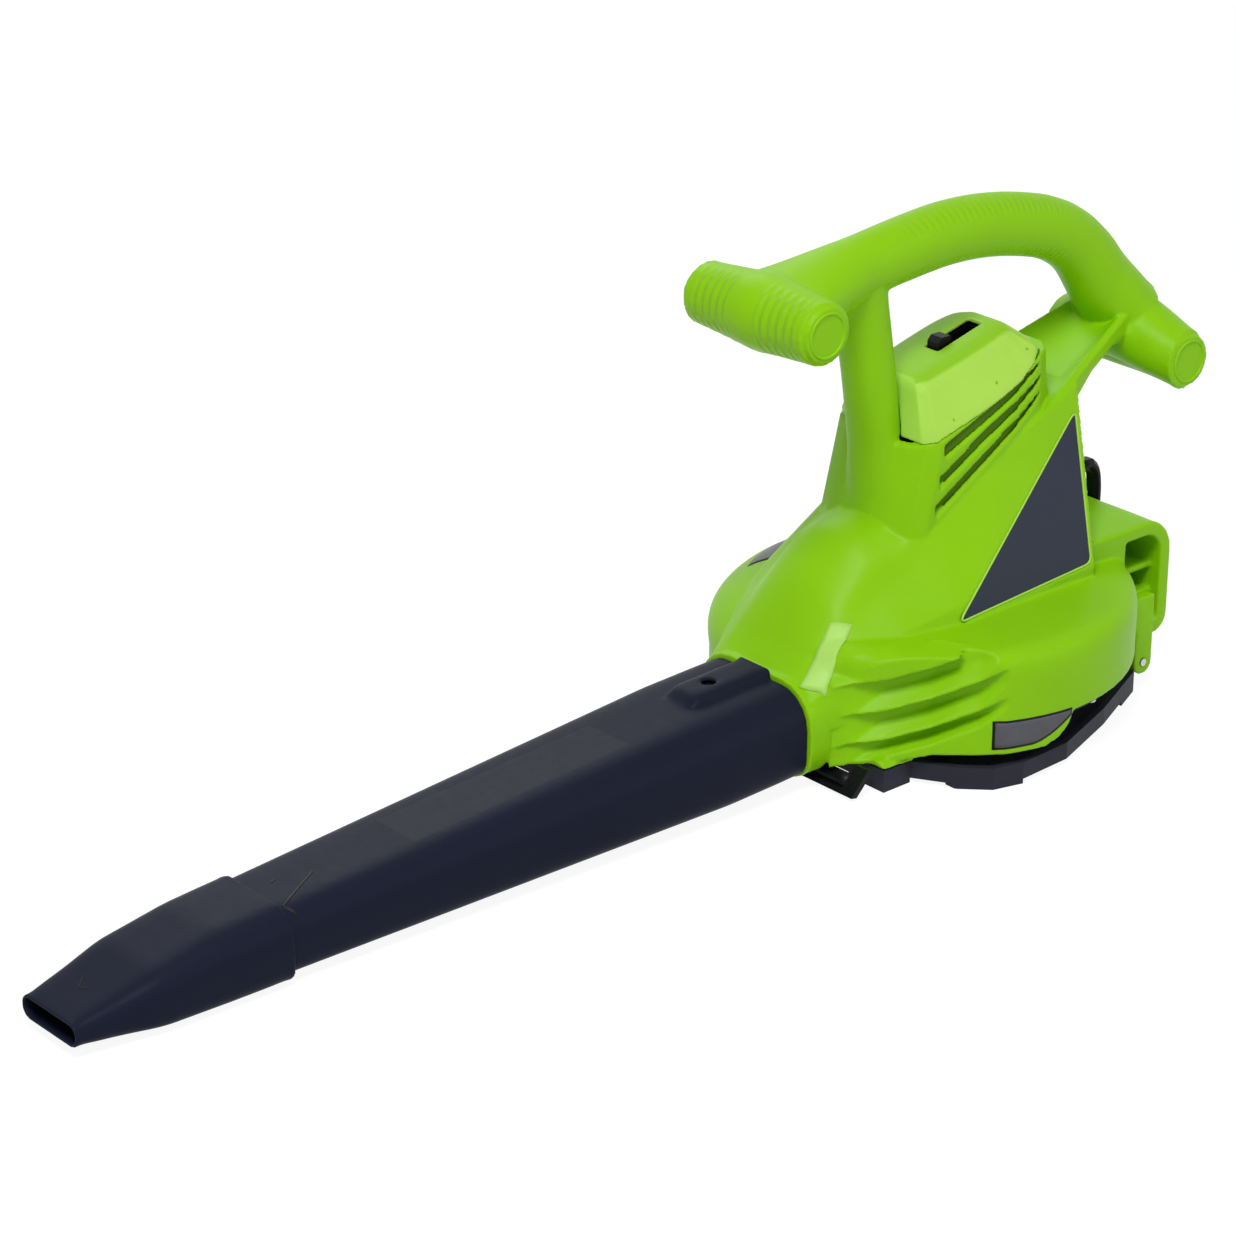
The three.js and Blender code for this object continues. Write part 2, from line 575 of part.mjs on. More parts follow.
function grip([x, z], bow, rise, side, belly) {
  const path = [vec(x, -GRIP_HALF, z), vec(x + bow * 0.8, -GRIP_HALF * 0.4, z + rise * 0.75),
    vec(x + bow, 0, z + rise), vec(x + bow * 0.8, GRIP_HALF * 0.4, z + rise * 0.75),
    vec(x, GRIP_HALF, z)];
  const sizes = [GRIP_END_R, side, belly, side, GRIP_END_R].map((r) => [2 * r, 2 * r]);
  const body = loft(sweepRings(path, sizes, vec(0, 0, 1), 8));
  const cap = rodAlongY(GRIP_END_R - 2.5, -GRIP_HALF - 2.5, GRIP_HALF + 2.5, x, z, 20);
  return join(body, cap);
}

// Finger grooves round the front lower face of the front grip.
function gripGrooves([x, z]) {
  const pitch = 2 * (GRIP_HALF - 9) / (GRIP_GROOVES - 1);
  const grooves = Array.from({ length: GRIP_GROOVES }, (_, i) => {
    const y = -GRIP_HALF + 9 + i * pitch;
    const inner = Math.abs(y) / (0.4 * GRIP_HALF);
    const radius = inner < 1 ? mix(FRONT_BELLY_R, GRIP_SIDE_R, inner)
      : mix(GRIP_SIDE_R, GRIP_END_R, (inner - 1) / 1.5);
    const ring = new THREE.TorusGeometry(radius + 0.4, 1.3, 4, 20).rotateX(Math.PI / 2);
    return toSolid(ring.translate(x, y, z));
  });
  const face = sidePrism([[x - 30, z - 30], [x + 4, z - 30], [x + 2, z + 4], [x - 14, z + 30],
    [x - 30, z + 30]], -GRIP_HALF, GRIP_HALF);
  return join(...grooves).intersect(face);
}

// ---------------------------------------------------------------- rear box and hinge ears
function rearBox() {
  const outline = (inset) => {
    const shape = new THREE.Shape();
    const [x0, x1] = [BOX_FRONT + inset, BOX_REAR - inset];
    const [z0, z1] = [BOX_BOTTOM + inset, BOX_TOP - inset];
    const r = 24 - inset;
    const low = 12 - inset;
    shape.moveTo(x0, z0);
    shape.lineTo(x1 - low, z0).absarc(x1 - low, z0 + low, low, -Math.PI / 2, 0);
    shape.lineTo(x1, z1 - r).absarc(x1 - r, z1 - r, r, 0, Math.PI / 2);
    shape.lineTo(x0, z1);
    return shape;
  };
  const push = (shape, half) => toSolid(new THREE.ExtrudeGeometry(shape,
    { depth: 2 * half, bevelEnabled: false, curveSegments: 6 })
    .rotateX(Math.PI / 2).translate(0, half, 0));
  const hollow = push(outline(BOX_WALL), BOX_HALF + 1);
  const ribs = join(box(BOX_FRONT, BOX_REAR - 2, -BOX_HALF + 8, BOX_HALF - 8, 66, 70),
    box(BOX_FRONT, BOX_REAR - 2, -BOX_HALF + 8, BOX_HALF - 8, 48, 52));
  return push(outline(0), BOX_HALF).subtract(hollow).add(ribs);
}

// The box behind the drum is a piece of its own from this plane on.
const BOX_SPLIT = DRUM_R + 1;

function makeRearBox() {
  const rear = box(BOX_SPLIT + CLEAR, BOX_REAR + 1, -BOX_HALF - 1, BOX_HALF + 1,
    BOX_BOTTOM - 1, BOX_TOP + 1);
  return rearBox().intersect(rear).subtract(hookSlot(CLEAR));
}

function boxRoot() {
  const root = box(0, BOX_SPLIT, -BOX_HALF - 1, BOX_HALF + 1, BOX_BOTTOM - 1, BOX_TOP + 1);
  return rearBox().intersect(root);
}

// The box's top runs forwards over the crown to the rear wall of the shoulders.
const boxDeck = () => box(78, BOX_FRONT + 1, -BOX_HALF, BOX_HALF, VOLUTE_TOP - 6, BOX_TOP);

function hingeEars() {
  const ear = (y) => join(
    rodAlongY(8, y - 4, y + 4, HINGE_X, HINGE_Z),
    box(HINGE_X - 8, HINGE_X + 8, y - 4, y + 4, HINGE_Z, DRUM_BOTTOM + 22),
    box(80, HINGE_X + 8, y - 4, y + 4, DRUM_BOTTOM + 1, DRUM_BOTTOM + 22),
  );
  return join(ear(GUARD_HALF_Y - 5), ear(5 - GUARD_HALF_Y));
}

// ---------------------------------------------------------------- housing, inside and cuts
function fanChamber() {
  const ledge = DRUM_BOTTOM + 6;
  const inside = drumBody(WALL, ledge, 40).intersect(rod(DRUM_R + 5, 0, VOLUTE_TOP));
  return cut(join(inside, rod(INTAKE_R + 56, DRUM_BOTTOM - 1, ledge + 1, 48)),
    outsideCheek(CHEEK_BACK));
}

const bayRing = (z, taper) =>
  podRing(POD_FRONT + 20, POD_Y - WALL, POD_REAR - WALL - taper, () => z);

function motorBay() {
  const bay = loft([bayRing(MOTOR_FLOOR, 0), bayRing(SEAM_TOP + 24, POD_TAPER * 1.5)]);
  const above = sidePrism([[POD_FRONT, MOTOR_FLOOR - 1], [POD_REAR, MOTOR_FLOOR - 1],
    [POD_REAR, seamZ(POD_REAR) - WALL - 12], [60, seamZ(60) + 1], [POD_FRONT, seamZ(POD_FRONT)]],
  -POD_Y, POD_Y);
  const seat = rod(BEARING_R + CLEAR, LOWER_BEARING - CLEAR, LOWER_BEARING + BEARING_H + 20);
  const shaftHole = rod(SHAFT_R + RUN_CLEAR, VOLUTE_TOP - 5, LOWER_BEARING + 1);
  const bracketRoom = rod(FIELD_R + 1.5, MOTOR_FLOOR, UPPER_BEARING + 1, 32);
  return join(bay.intersect(above), bracketRoom, seat, shaftHole);
}

// Middle lines of the three air slots in the pod's side: x, z, and half the height there.
const LOUVRES = [
  [[-28, 184, 4.6], [0, 195, 4.2], [21, 203.5, 3.6], [44, 213, 2.4], [57, 217.5, 1.4]],
  [[-32, 165, 4.6], [7, 186, 4.4], [29, 196, 3.8], [45, 202.5, 2.8], [62, 209.5, 1.5]],
  [[-35, 147.5, 4.6], [1, 168.5, 4.6], [22, 180.5, 4], [39, 189, 3], [58, 198, 1.6]],
];
const LOUVRE_LEAN = 0.45;        // climb of a slot per mm inwards

function louvres() {
  const [outside, inside] = [POD_Y + 8, 31];
  const slot = (path) => loft(path.map(([x, z, half]) => {
    const at = (y, edge) => vec(x, y, z + edge + (POD_Y - y) * LOUVRE_LEAN);
    return [at(outside, half), at(inside, half), at(inside, mix(half, -half, 0.55)),
      at(POD_Y, -half), at(outside, -half)];
  }));
  return bothSides(join(...LOUVRES.map(slot)));
}

const PANEL = [[84, 185], [-47, 91], [70.5, 97]];
const PANEL_DEPTH = 2;

// A three-cornered plate lying in the near flank, grown outwards by an amount.
function flankPlate(grow, low, high) {
  const angle = Math.atan(FLANK_LEAN);
  const foot = 94;
  const corners = PANEL.map(([x, z]) => new THREE.Vector2(x, (z - foot) / Math.cos(angle)));
  const centre = corners.reduce((sum, p) => sum.add(p), new THREE.Vector2()).divideScalar(3);
  const outline = new THREE.Shape();
  corners.forEach((corner, i) => {
    const towards = (other) => corner.clone().lerp(other, 0.05);
    const [from, to] = [corners[(i + 2) % 3], corners[(i + 1) % 3]];
    const out = corner.clone().sub(centre).normalize().multiplyScalar(grow * 1.6);
    const [a, b] = [towards(from).add(out), towards(to).add(out)];
    const tip = corner.clone().add(out);
    if (i === 0) outline.moveTo(a.x, a.y);
    else outline.lineTo(a.x, a.y);
    outline.quadraticCurveTo(tip.x, tip.y, b.x, b.y);
  });
  outline.closePath();
  const geometry = new THREE.ExtrudeGeometry(outline,
    { depth: high - low, bevelEnabled: false, curveSegments: 4 });
  const frame = new THREE.Matrix4().makeBasis(vec(1, 0, 0),
    vec(0, Math.sin(angle), Math.cos(angle)), vec(0, -Math.cos(angle), Math.sin(angle)));
  frame.setPosition(0, -flankY(foot), foot);
  return toSolid(geometry.translate(0, 0, low).applyMatrix4(frame));
}

const INLET_Z = 150;
const INLET_W = 38;
const INLET_H = 30;
const INLET_FRONT = 58;
const LIP = 4;                   // lip round the inlet

// The flat face that the inlet's lip lies on, cut into the leaning rear wall.
function lipRoom() {
  const [y, z] = [INLET_W / 2 + LIP + CLEAR, INLET_H / 2 + LIP + CLEAR];
  return box(POD_REAR, POD_REAR + 20, -y, y, INLET_Z - z, INLET_Z + z);
}

function inletOpening(grow) {
  return box(INLET_FRONT - grow, POD_REAR + 10, -INLET_W / 2 - grow, INLET_W / 2 + grow,
    INLET_Z - INLET_H / 2 - grow, INLET_Z + INLET_H / 2 + grow);
}

function hookSlot(grow) {
  return box(BOX_REAR - 10 - grow, BOX_REAR - 2 + grow, -5.7 - grow, 5.7 + grow,
    BOX_TOP - 14 - grow, BOX_TOP + 1);
}

const LATCH_PIVOT = [-GUARD_HALF_X - 9, 11];
const LATCH_HALF = 77;
const LATCH_PIN_R = 2;
const LATCH_LUG_Y = 40;
const LUG_T = 5;

function latchLugs() {
  const lug = (y) => join(rodAlongY(4.5, y, y + LUG_T, LATCH_PIVOT[0], LATCH_PIVOT[1]),
    box(LATCH_PIVOT[0] - 4, LATCH_PIVOT[0] + 4, y, y + LUG_T, LATCH_PIVOT[1], 30));
  return join(lug(LATCH_LUG_Y), lug(-LATCH_LUG_Y - LUG_T));
}

const HOUSING_SCREWS = [[-12, ARCH_TOP - 3], [122, ARCH_TOP - 33], [-54, 232],
  [-112, ARCH_TOP - 13], [-84, 110], [108, 194]];

function housingSolid() {
  const drum = join(drumBody(0, DRUM_BOTTOM, 64), skirt()).subtract(outsideCheek(0));
  const outside = join(
    join(drum, cheek(), cornerFoot()).subtract(gills()), duct(), spigot(),
    shoulders(), legs(), pod(), arch(), pillar(), grip(FRONT_GRIP, 2, 0, GRIP_SIDE_R, FRONT_BELLY_R),
    grip(REAR_GRIP, -6, 14, REAR_BELLY_R, REAR_BELLY_R), boxRoot(), boxDeck(), hingeEars(), latchLugs(),
  );
  const button = rod(LOCK_R + SLIDE_CLEAR, tubeZ(LOCK_X), tubeZ(LOCK_X) + ROOT_H, 16,
    LOCK_X, TUBE_Y);
  const pins = join(
    rodAlongY(HINGE_PIN_R + CLEAR, -GUARD_HALF_Y - 5, GUARD_HALF_Y + 5, HINGE_X, HINGE_Z),
    rodAlongY(LATCH_PIN_R + CLEAR, -60, 60, LATCH_PIVOT[0], LATCH_PIVOT[1], 16),
  );
  const panels = bothSides(flankPlate(CLEAR, -PANEL_DEPTH, 12));
  return cut(outside, fanChamber(), ductBore(), motorBay(), louvres(), panels, button, pins,
    gripGrooves(FRONT_GRIP), inletOpening(CLEAR), lipRoom(), screwHoles(),
    ...FLOOR_SCREWS.map((angle) => floorScrew(angle, CLEAR)));
}

const SCREW_HEAD = 4;

// Each screw enters from the far side, with its head at the bottom of a deep round pocket.
function housingScrew([x, z], grow) {
  const depth = 7;
  return join(rodAlongY(1.8 + grow, -6 - grow, depth + 0.5, x, z, 8),
    rodAlongY(SCREW_HEAD + grow, depth, depth + 3 + (grow ? 60 : 0), x, z, 10));
}

const screwHoles = () => join(...HOUSING_SCREWS.map((place) => housingScrew(place, CLEAR)));

function halves(solid) {
  const reach = 400;
  const near = box(-reach, reach, -reach, -CLEAR / 2, -reach, reach);
  const far = box(-reach, reach, CLEAR / 2, reach, -reach, reach);
  return [solid.intersect(near), solid.intersect(far)];
}

// ---------------------------------------------------------------- motor cover and switch
const coverTop = (x) => {
  const fall = Math.max(0, x - 44) / 38;
  return COVER_TOP - 18 + (x - COVER_FRONT) * 0.25 - 9 * fall * fall;
};

// The cover's outline, leaning in all round, but less at the front, and moved in by a wall.
function coverRing(lean, wall, height) {
  const middle = (COVER_FRONT + COVER_REAR) / 2;
  const half = [[COVER_FRONT, 0], [COVER_FRONT, 34], [-34, POD_Y - 2], [0, POD_Y], [20, POD_Y],
    [36, POD_Y - 1], [50, POD_Y - 4], [58, POD_Y - 9], [COVER_REAR, POD_Y - 22], [COVER_REAR, 0]];
  const moved = half.map(([x, y]) => {
    const move = (x < middle ? lean * 0.4 : lean) + wall;
    return [middle + (x - middle) * (1 - move / (COVER_REAR - middle)),
      y * (1 - (lean + wall) / POD_Y)];
  });
  const mirrored = moved.slice(1, -1).map(([x, y]) => [x, -y]).reverse();
  return [...moved, ...mirrored].map(([x, y]) => vec(x, y, height(x)));
}

const SWITCH_X = 19;
const SLOT_HALF_L = 19;
const SLOT_HALF_W = 6;
const COVER_WALL = 2.5;

function makeCover() {
  const shell = (inset, drop) => loft([
    coverRing(0, inset, (x) => seamZ(x) + CLEAR - drop),
    coverRing(1.5, inset, (x) => seamZ(x) + 4),
    coverRing(15, inset, (x) => coverTop(x) - 4 - inset * 0.7),
    coverRing(19, inset, (x) => coverTop(x) - 1 - inset),
    coverRing(27, inset, (x) => coverTop(x) + 1 - inset),
  ]);
  const post = sweepRings(PILLAR_PATH, pillarSizes(CLEAR), vec(0, 1, 0), 6);
  const slot = box(SWITCH_X - SLOT_HALF_L, SWITCH_X + SLOT_HALF_L, -SLOT_HALF_W, SLOT_HALF_W,
    COVER_TOP - 30, COVER_TOP + 20);
  return cut(shell(0, 0), shell(COVER_WALL, 1), loft(post), slot);
}

const underCover = (x) => coverTop(x) + 1 - COVER_WALL - CLEAR;
const TRACK_BOTTOM = underCover(SWITCH_X) - 10;

function makeSwitchBody() {
  const [x0, x1] = [SWITCH_X - SLOT_HALF_L - 4, SWITCH_X + SLOT_HALF_L + 4];
  const block = sidePrism([[x0, TRACK_BOTTOM - 8], [x1, TRACK_BOTTOM - 8], [x1, underCover(x1) - 2],
    [x0, underCover(x0)]], -SLOT_HALF_W - 5, SLOT_HALF_W + 5);
  const track = box(SWITCH_X - SLOT_HALF_L + 1, SWITCH_X + SLOT_HALF_L - 1, -SLOT_HALF_W + 1,
    SLOT_HALF_W - 1, TRACK_BOTTOM, TRACK_BOTTOM + 20);
  return block.subtract(track);
}

function makeSwitchKnob() {
  const low = TRACK_BOTTOM + SLIDE_CLEAR;
  const high = coverTop(SWITCH_X) + 3;
  const x0 = SWITCH_X - SLOT_HALF_L + 1 + SLIDE_CLEAR;
  const half = SLOT_HALF_W - 1 - SLIDE_CLEAR;
  const length = 2 * SLOT_HALF_L - 2 - 2 * SLIDE_CLEAR - SWITCH_TRAVEL;
  const thumb = 11;
  return sidePrism([[x0, low], [x0 + length, low], [x0 + length, low + 4], [x0 + thumb, low + 6],
    [x0 + thumb, high - 1], [x0 + thumb - 1, high], [x0 + 3, high], [x0, high - 3]],
  -half, half);
}

// ---------------------------------------------------------------- floor of the volute, guard
const FLOOR_R = DRUM_R - SKIRT_WALL - CLEAR;
const FLOOR_TOP = DRUM_BOTTOM - CLEAR;
const FLOOR_SCREWS = [40, 78, 112, 253, 282, 320].map((a) => THREE.MathUtils.degToRad(a));
const FLOOR_SCREW_R = DRUM_R - 10;

function makeFloor() {
  const low = FLOOR_TOP - FLOOR_T;
  const disc = revolve([[INTAKE_R, low - 9], [INTAKE_R + 3, low - 9], [INTAKE_R + 3, low],
    [FLOOR_R, low], [FLOOR_R, FLOOR_TOP], [INTAKE_R + 4, FLOOR_TOP], [INTAKE_R, FLOOR_TOP - 3]]);
  const ductRoom = box(-DRUM_R, DUCT_MIDDLE + 44, -ROOT_W / 2 - 17, ROOT_W / 2 + 17, 0, DRUM_BOTTOM);
  const holes = FLOOR_SCREWS.map((a) => floorScrew(a, CLEAR));
  const rim = DRUM_R + 1;
  const ears = join(box(HINGE_X - 12, rim, GUARD_HALF_Y - 10, GUARD_HALF_Y, 0, 60),
    box(HINGE_X - 12, rim, -GUARD_HALF_Y, 10 - GUARD_HALF_Y, 0, 60),
    box(BOX_FRONT - CLEAR, rim, -BOX_HALF - CLEAR, BOX_HALF + CLEAR, 0, 60));
  return cut(disc, ductRoom, outsideCheek(CHEEK_BACK + CLEAR), ears, ...holes);
}

function floorScrew(angle, grow) {
  const [x, y] = [FLOOR_SCREW_R * Math.cos(angle), FLOOR_SCREW_R * Math.sin(angle)];
  const under = FLOOR_TOP - FLOOR_T;
  return join(rod(1.8 + grow, under - 1, DRUM_BOTTOM + 4 + grow, 8, x, y),
    rod(3.4 + grow, under - 2.5, under - CLEAR + grow, 8, x, y));
}

// The guard's plan: a rectangle with a bulge on each side, which is fullest towards the front.
function guardOutline(inset) {
  const [hx, hy] = [GUARD_HALF_X - inset, GUARD_HALF_Y - inset];
  const side = GUARD_SIDE.map(([x, y]) => [x + (x < -50 ? inset * 0.6 : 0), y - inset]);
  const far = [[hx, hy], ...side, [-hx, hy]];
  return [...far, ...far.map(([x, y]) => [x, -y]).reverse()];
}

const GRILLE_Z = 7;
const GRILLE_T = 3;
const GRILLE_RINGS = [24, 40, 56];
const GRILLE_SPOKES = 8;
const HUB_R = 9;
const POST_Y = GUARD_HALF_Y - 6;                 // stops that meet the volute's floor
const POSTS = [[GUARD_HALF_X - 38, POST_Y], [56 - GUARD_HALF_X, POST_Y]];

function makeGuard() {
  const front = -GUARD_HALF_X;
  const feet = bothSides(join(
    box(front + 36, front + 72, DRUM_R - 36, DRUM_R, 0, FOOT_H + 1),
    box(front, front + 22, GUARD_HALF_Y - 30, GUARD_HALF_Y + 10, 0, FOOT_H + 1),
    box(GUARD_HALF_X - 22, GUARD_HALF_X, GUARD_HALF_Y - 30, GUARD_HALF_Y + 10, 0, FOOT_H + 1)));
  const wall = (low) => prism(guardOutline(0), low, GUARD_H).subtract(
    prism(guardOutline(GUARD_BAND), -1, GUARD_H + 1));
  const band = join(wall(FOOT_H), wall(0).intersect(feet));
  const plate = prism(guardOutline(GUARD_BAND - 0.5), GRILLE_Z, GRILLE_Z + GRILLE_T).subtract(
    rod(INTAKE_R + 12, 0, GUARD_H, 40));
  const ringBar = (r) => revolve([[r, GRILLE_Z], [r + 2.5, GRILLE_Z],
    [r + 2.5, GRILLE_Z + GRILLE_T], [r, GRILLE_Z + GRILLE_T]], 32);
  const spokes = Array.from({ length: GRILLE_SPOKES / 2 }, (_, i) => {
    const reach = INTAKE_R + 14;
    const geometry = new THREE.BoxGeometry(2 * reach, 2.5, GRILLE_T);
    const turn = (i / GRILLE_SPOKES) * 2 * Math.PI;
    return toSolid(geometry.translate(0, 0, GRILLE_Z + GRILLE_T / 2).rotateZ(turn + 0.13));
  });
  const hub = rod(HUB_R, GRILLE_Z - 1, GRILLE_Z + GRILLE_T + 1, 24);
  const slots = [-1, 1].flatMap((side) => [0, 1, 2].map((i) => box(
    side * (GUARD_HALF_X - 24) - 7, side * (GUARD_HALF_X - 24) + 7,
    -62 + i * 44, -26 + i * 44, FOOT_H, GUARD_H + 1)));
  const knuckle = (y) => join(rodAlongY(5.5, y, y + 11, HINGE_X, HINGE_Z),
    sidePrism([[GUARD_HALF_X - 2, 1], [GUARD_HALF_X + 3, 1], [HINGE_X + 5, HINGE_Z - 2],
      [HINGE_X - 2, HINGE_Z + 4], [GUARD_HALF_X - 2, GUARD_H]], y, y + 11));
  const knuckles = join(knuckle(GUARD_HALF_Y - 21), knuckle(10 - GUARD_HALF_Y));
  const pins = rodAlongY(HINGE_PIN_R + CLEAR, -GUARD_HALF_Y, GUARD_HALF_Y, HINGE_X, HINGE_Z);
  const postTop = FLOOR_TOP - FLOOR_T - CLEAR;
  const posts = bothSides(join(...POSTS.map(([x, y]) => rod(4, GRILLE_Z + 1, postTop, 10, x, y))));
  const catchSlot = box(-GUARD_HALF_X - 1, -GUARD_HALF_X + GUARD_BAND + 1, -13, 13, 1.2, 10);
  return cut(join(band, cut(plate, ...slots), ...GRILLE_RINGS.map(ringBar), ...spokes, hub,
    knuckles, posts), pins, catchSlot);
}

function makeLatch() {
  const [px, pz] = LATCH_PIVOT;
  const plate = sidePrism([[px - 15, 2.6], [px - 10.5, 1.6], [px + 3, pz + 4.5],
    [px - 1.5, pz + 6]], -LATCH_HALF, LATCH_HALF);
  const underDuct = box(px - 30, px + 20, -NEAR_EDGE - 12, FAR_EDGE + 4, 4.6, 40);
  const barrel = rodAlongY(3.8, -LATCH_LUG_Y + 1, LATCH_LUG_Y - 1, px, pz);
  const tongue = box(px - 10, -GUARD_HALF_X - 0.5, -11, 11, 3, 5.2);
  const web = [-30, -8, 8, 30].map((y) => sidePrism([[px - 10, 3.4], [px + 4, 3.4],
    [px + 2, pz - 3], [px - 3, pz - 1]], y - 1.5, y + 1.5));
  const lugRoom = bothSides(box(px - 6, px + 6, LATCH_LUG_Y - CLEAR,
    LATCH_LUG_Y + LUG_T + CLEAR, pz - 6, 40));
  const pin = rodAlongY(LATCH_PIN_R + CLEAR, -60, 60, px, pz, 16);
  return cut(join(plate.subtract(underDuct), barrel, tongue, ...web), lugRoom, pin);
}

// ---------------------------------------------------------------- fan and motor
function makeFan() {
  const hubR = 15;
  const plate = revolve([[SHAFT_R + CLEAR, FAN_BOTTOM + 4], [hubR, FAN_BOTTOM + 4],
    [hubR, FAN_PLATE - 4], [hubR + 4, FAN_PLATE], [FAN_R, FAN_PLATE], [FAN_R, FAN_PLATE + 2.5],
    [hubR + 3, FAN_PLATE + 2.5], [hubR - 3, FAN_PLATE + 6], [SHAFT_R + CLEAR, FAN_PLATE + 6]]);
  const blades = Array.from({ length: FAN_BLADES }, (_, i) => {
    const outer = [];
    const inner = [];
    for (let k = 0; k <= 4; k += 1) {
      const r = mix(hubR + 14, FAN_R - 1, k / 4);
      const angle = (i / FAN_BLADES) * 2 * Math.PI + 0.9 * (k / 4) ** 1.3;
      const half = BLADE_T / 2 / r;
      outer.push([r * Math.cos(angle + half), r * Math.sin(angle + half)]);
      inner.push([r * Math.cos(angle - half), r * Math.sin(angle - half)]);
    }
    return prism([...inner, ...outer.reverse()], FAN_BOTTOM, FAN_PLATE + 1);
  });
  const mouth = revolve([[0, FAN_BOTTOM - 1], [INTAKE_R - 8, FAN_BOTTOM - 1],
    [hubR + 13, FAN_BOTTOM + 13], [0, FAN_BOTTOM + 13]], 48);
  const trimmed = join(...blades).subtract(mouth);
  return join(plate, trimmed);
}

function nutOutline(radius) {
  return Array.from({ length: 6 }, (_, i) => {
    const angle = (i / 6) * 2 * Math.PI;
    return [radius * Math.cos(angle), radius * Math.sin(angle)];
  });
}

const ringOf = (inner, outer, z0, z1, sides = 20) =>
  revolve([[inner, z0], [outer, z0], [outer, z1], [inner, z1]], sides);

function makeArmature() {
  const teeth = 12;
  const outline = [];
  for (let i = 0; i < teeth; i += 1) {
    const turn = (share) => ((i + share) / teeth) * 2 * Math.PI;
    const put = (r, share) => outline.push([r * Math.cos(turn(share)), r * Math.sin(turn(share))]);
    put(ARMATURE_R, 0.06);
    put(ARMATURE_R, 0.5);
    put(ARMATURE_R, 0.94);
    put(ARMATURE_R - 3, 0.94);
    put(ARMATURE_R - 9, 0.8);
    put(ARMATURE_R - 9, 1.2);
    put(ARMATURE_R - 3, 1.06);
  }
  const core = prism(outline, FIELD_BOTTOM, FIELD_TOP);
  return core.subtract(rod(SHAFT_R + CLEAR, FIELD_BOTTOM - 1, FIELD_TOP + 1));
}

function makeWinding(z0, z1) {
  const inner = SHAFT_R + CLEAR;
  const outer = ARMATURE_R - 2;
  return revolve([[inner, z0], [outer - 4, z0], [outer, mix(z0, z1, 0.35)],
    [outer, mix(z0, z1, 0.65)], [outer - 4, z1], [inner, z1]], 20);
}

function makeField() {
  const body = ringOf(FIELD_R - 8, FIELD_R, FIELD_BOTTOM, FIELD_TOP, 32);
  const pole = [-1, 1].map((side) => box(side > 0 ? 0 : -FIELD_R + 4, side > 0 ? FIELD_R - 4 : 0,
    -16, 16, FIELD_BOTTOM, FIELD_TOP));
  const bore = rod(ARMATURE_R + 1, FIELD_BOTTOM - 1, FIELD_TOP + 1, 32);
  return cut(join(body, ...pole), bore);
}

function makeFieldCoil(side) {
  const high = FIELD_TOP + 7;
  const ring = ringOf(ARMATURE_R + 1, FIELD_R - 8 - CLEAR, FIELD_BOTTOM - 7, high, 32);
  const keep = box(side > 0 ? 6 : -FIELD_R, side > 0 ? FIELD_R : -6, -22, 22, 100, 220);
  const pole = box(-FIELD_R, FIELD_R, -16 - CLEAR, 16 + CLEAR, FIELD_BOTTOM - CLEAR,
    FIELD_TOP + CLEAR);
  return cut(ring.intersect(keep), pole);
}

const BRUSH_Z = FIELD_TOP + 16;
const BRUSH_X = 4;
const COMMUTATOR_R = 13;
const COMMUTATOR_H = 15;

function makeLowerBracket() {
  const body = ringOf(FIELD_R - 4, FIELD_R, MOTOR_FLOOR + CLEAR, FIELD_BOTTOM - CLEAR, 32);
  const windows = [0, 1, 2].map((i) => {
    const turn = (i / 3) * Math.PI + 0.3;
    const geometry = new THREE.BoxGeometry(2 * FIELD_R + 4, 22, 16);
    return toSolid(geometry.translate(0, 0, MOTOR_FLOOR + 20).rotateZ(turn));
  });
  return cut(body, ...windows);
}

function makeUpperBracket() {
  const low = FIELD_TOP + CLEAR;
  const top = UPPER_BEARING + BEARING_H;
  const seat = BEARING_R + CLEAR;
  const shell = revolve([[FIELD_R - 4, low], [FIELD_R, low], [FIELD_R, UPPER_BEARING - 5],
    [FIELD_R - 6, UPPER_BEARING], [seat + 4, UPPER_BEARING], [seat + 4, top], [seat, top],
    [seat, UPPER_BEARING - CLEAR], [SHAFT_R + RUN_CLEAR, UPPER_BEARING - CLEAR],
    [SHAFT_R + RUN_CLEAR, UPPER_BEARING - 3.3], [FIELD_R - 8, UPPER_BEARING - 3.3],
    [FIELD_R - 4, UPPER_BEARING - 7]], 32);
  const holders = bothSides(brushHolderBlock(CLEAR, 12));
  const windows = [0, 1].map((i) => {
    const geometry = new THREE.BoxGeometry(2 * FIELD_R + 4, 22, 12);
    const turn = (i ? 1 : -1) * 0.42;
    return toSolid(geometry.translate(0, 0, low + 11).rotateZ(turn));
  });
  return cut(shell, holders, ...windows);
}

function brushHolderBlock(grow, reach = 0) {
  return box(-7 - grow, 7 + grow, COMMUTATOR_R + 3 - grow, FIELD_R + 2 + grow + reach,
    BRUSH_Z - 6 - grow, BRUSH_Z + 5 + grow);
}

function makeBrushHolder() {
  const tunnel = box(-BRUSH_X - CLEAR, BRUSH_X + CLEAR, 0, FIELD_R - 1, BRUSH_Z - 3.3,
    BRUSH_Z + 3.3);
  return brushHolderBlock(0).subtract(tunnel);
}

function makeBrush() {
  const tip = rod(COMMUTATOR_R + CLEAR, BRUSH_Z - 10, BRUSH_Z + 10, 32);
  return box(-BRUSH_X, BRUSH_X, COMMUTATOR_R - 2, COMMUTATOR_R + 15, BRUSH_Z - 3, BRUSH_Z + 3)
    .subtract(tip);
}

function makeBrushSpring() {
  return rodAlongY(2.2, COMMUTATOR_R + 15 + CLEAR, FIELD_R - 1 - CLEAR, 0, BRUSH_Z, 10);
}

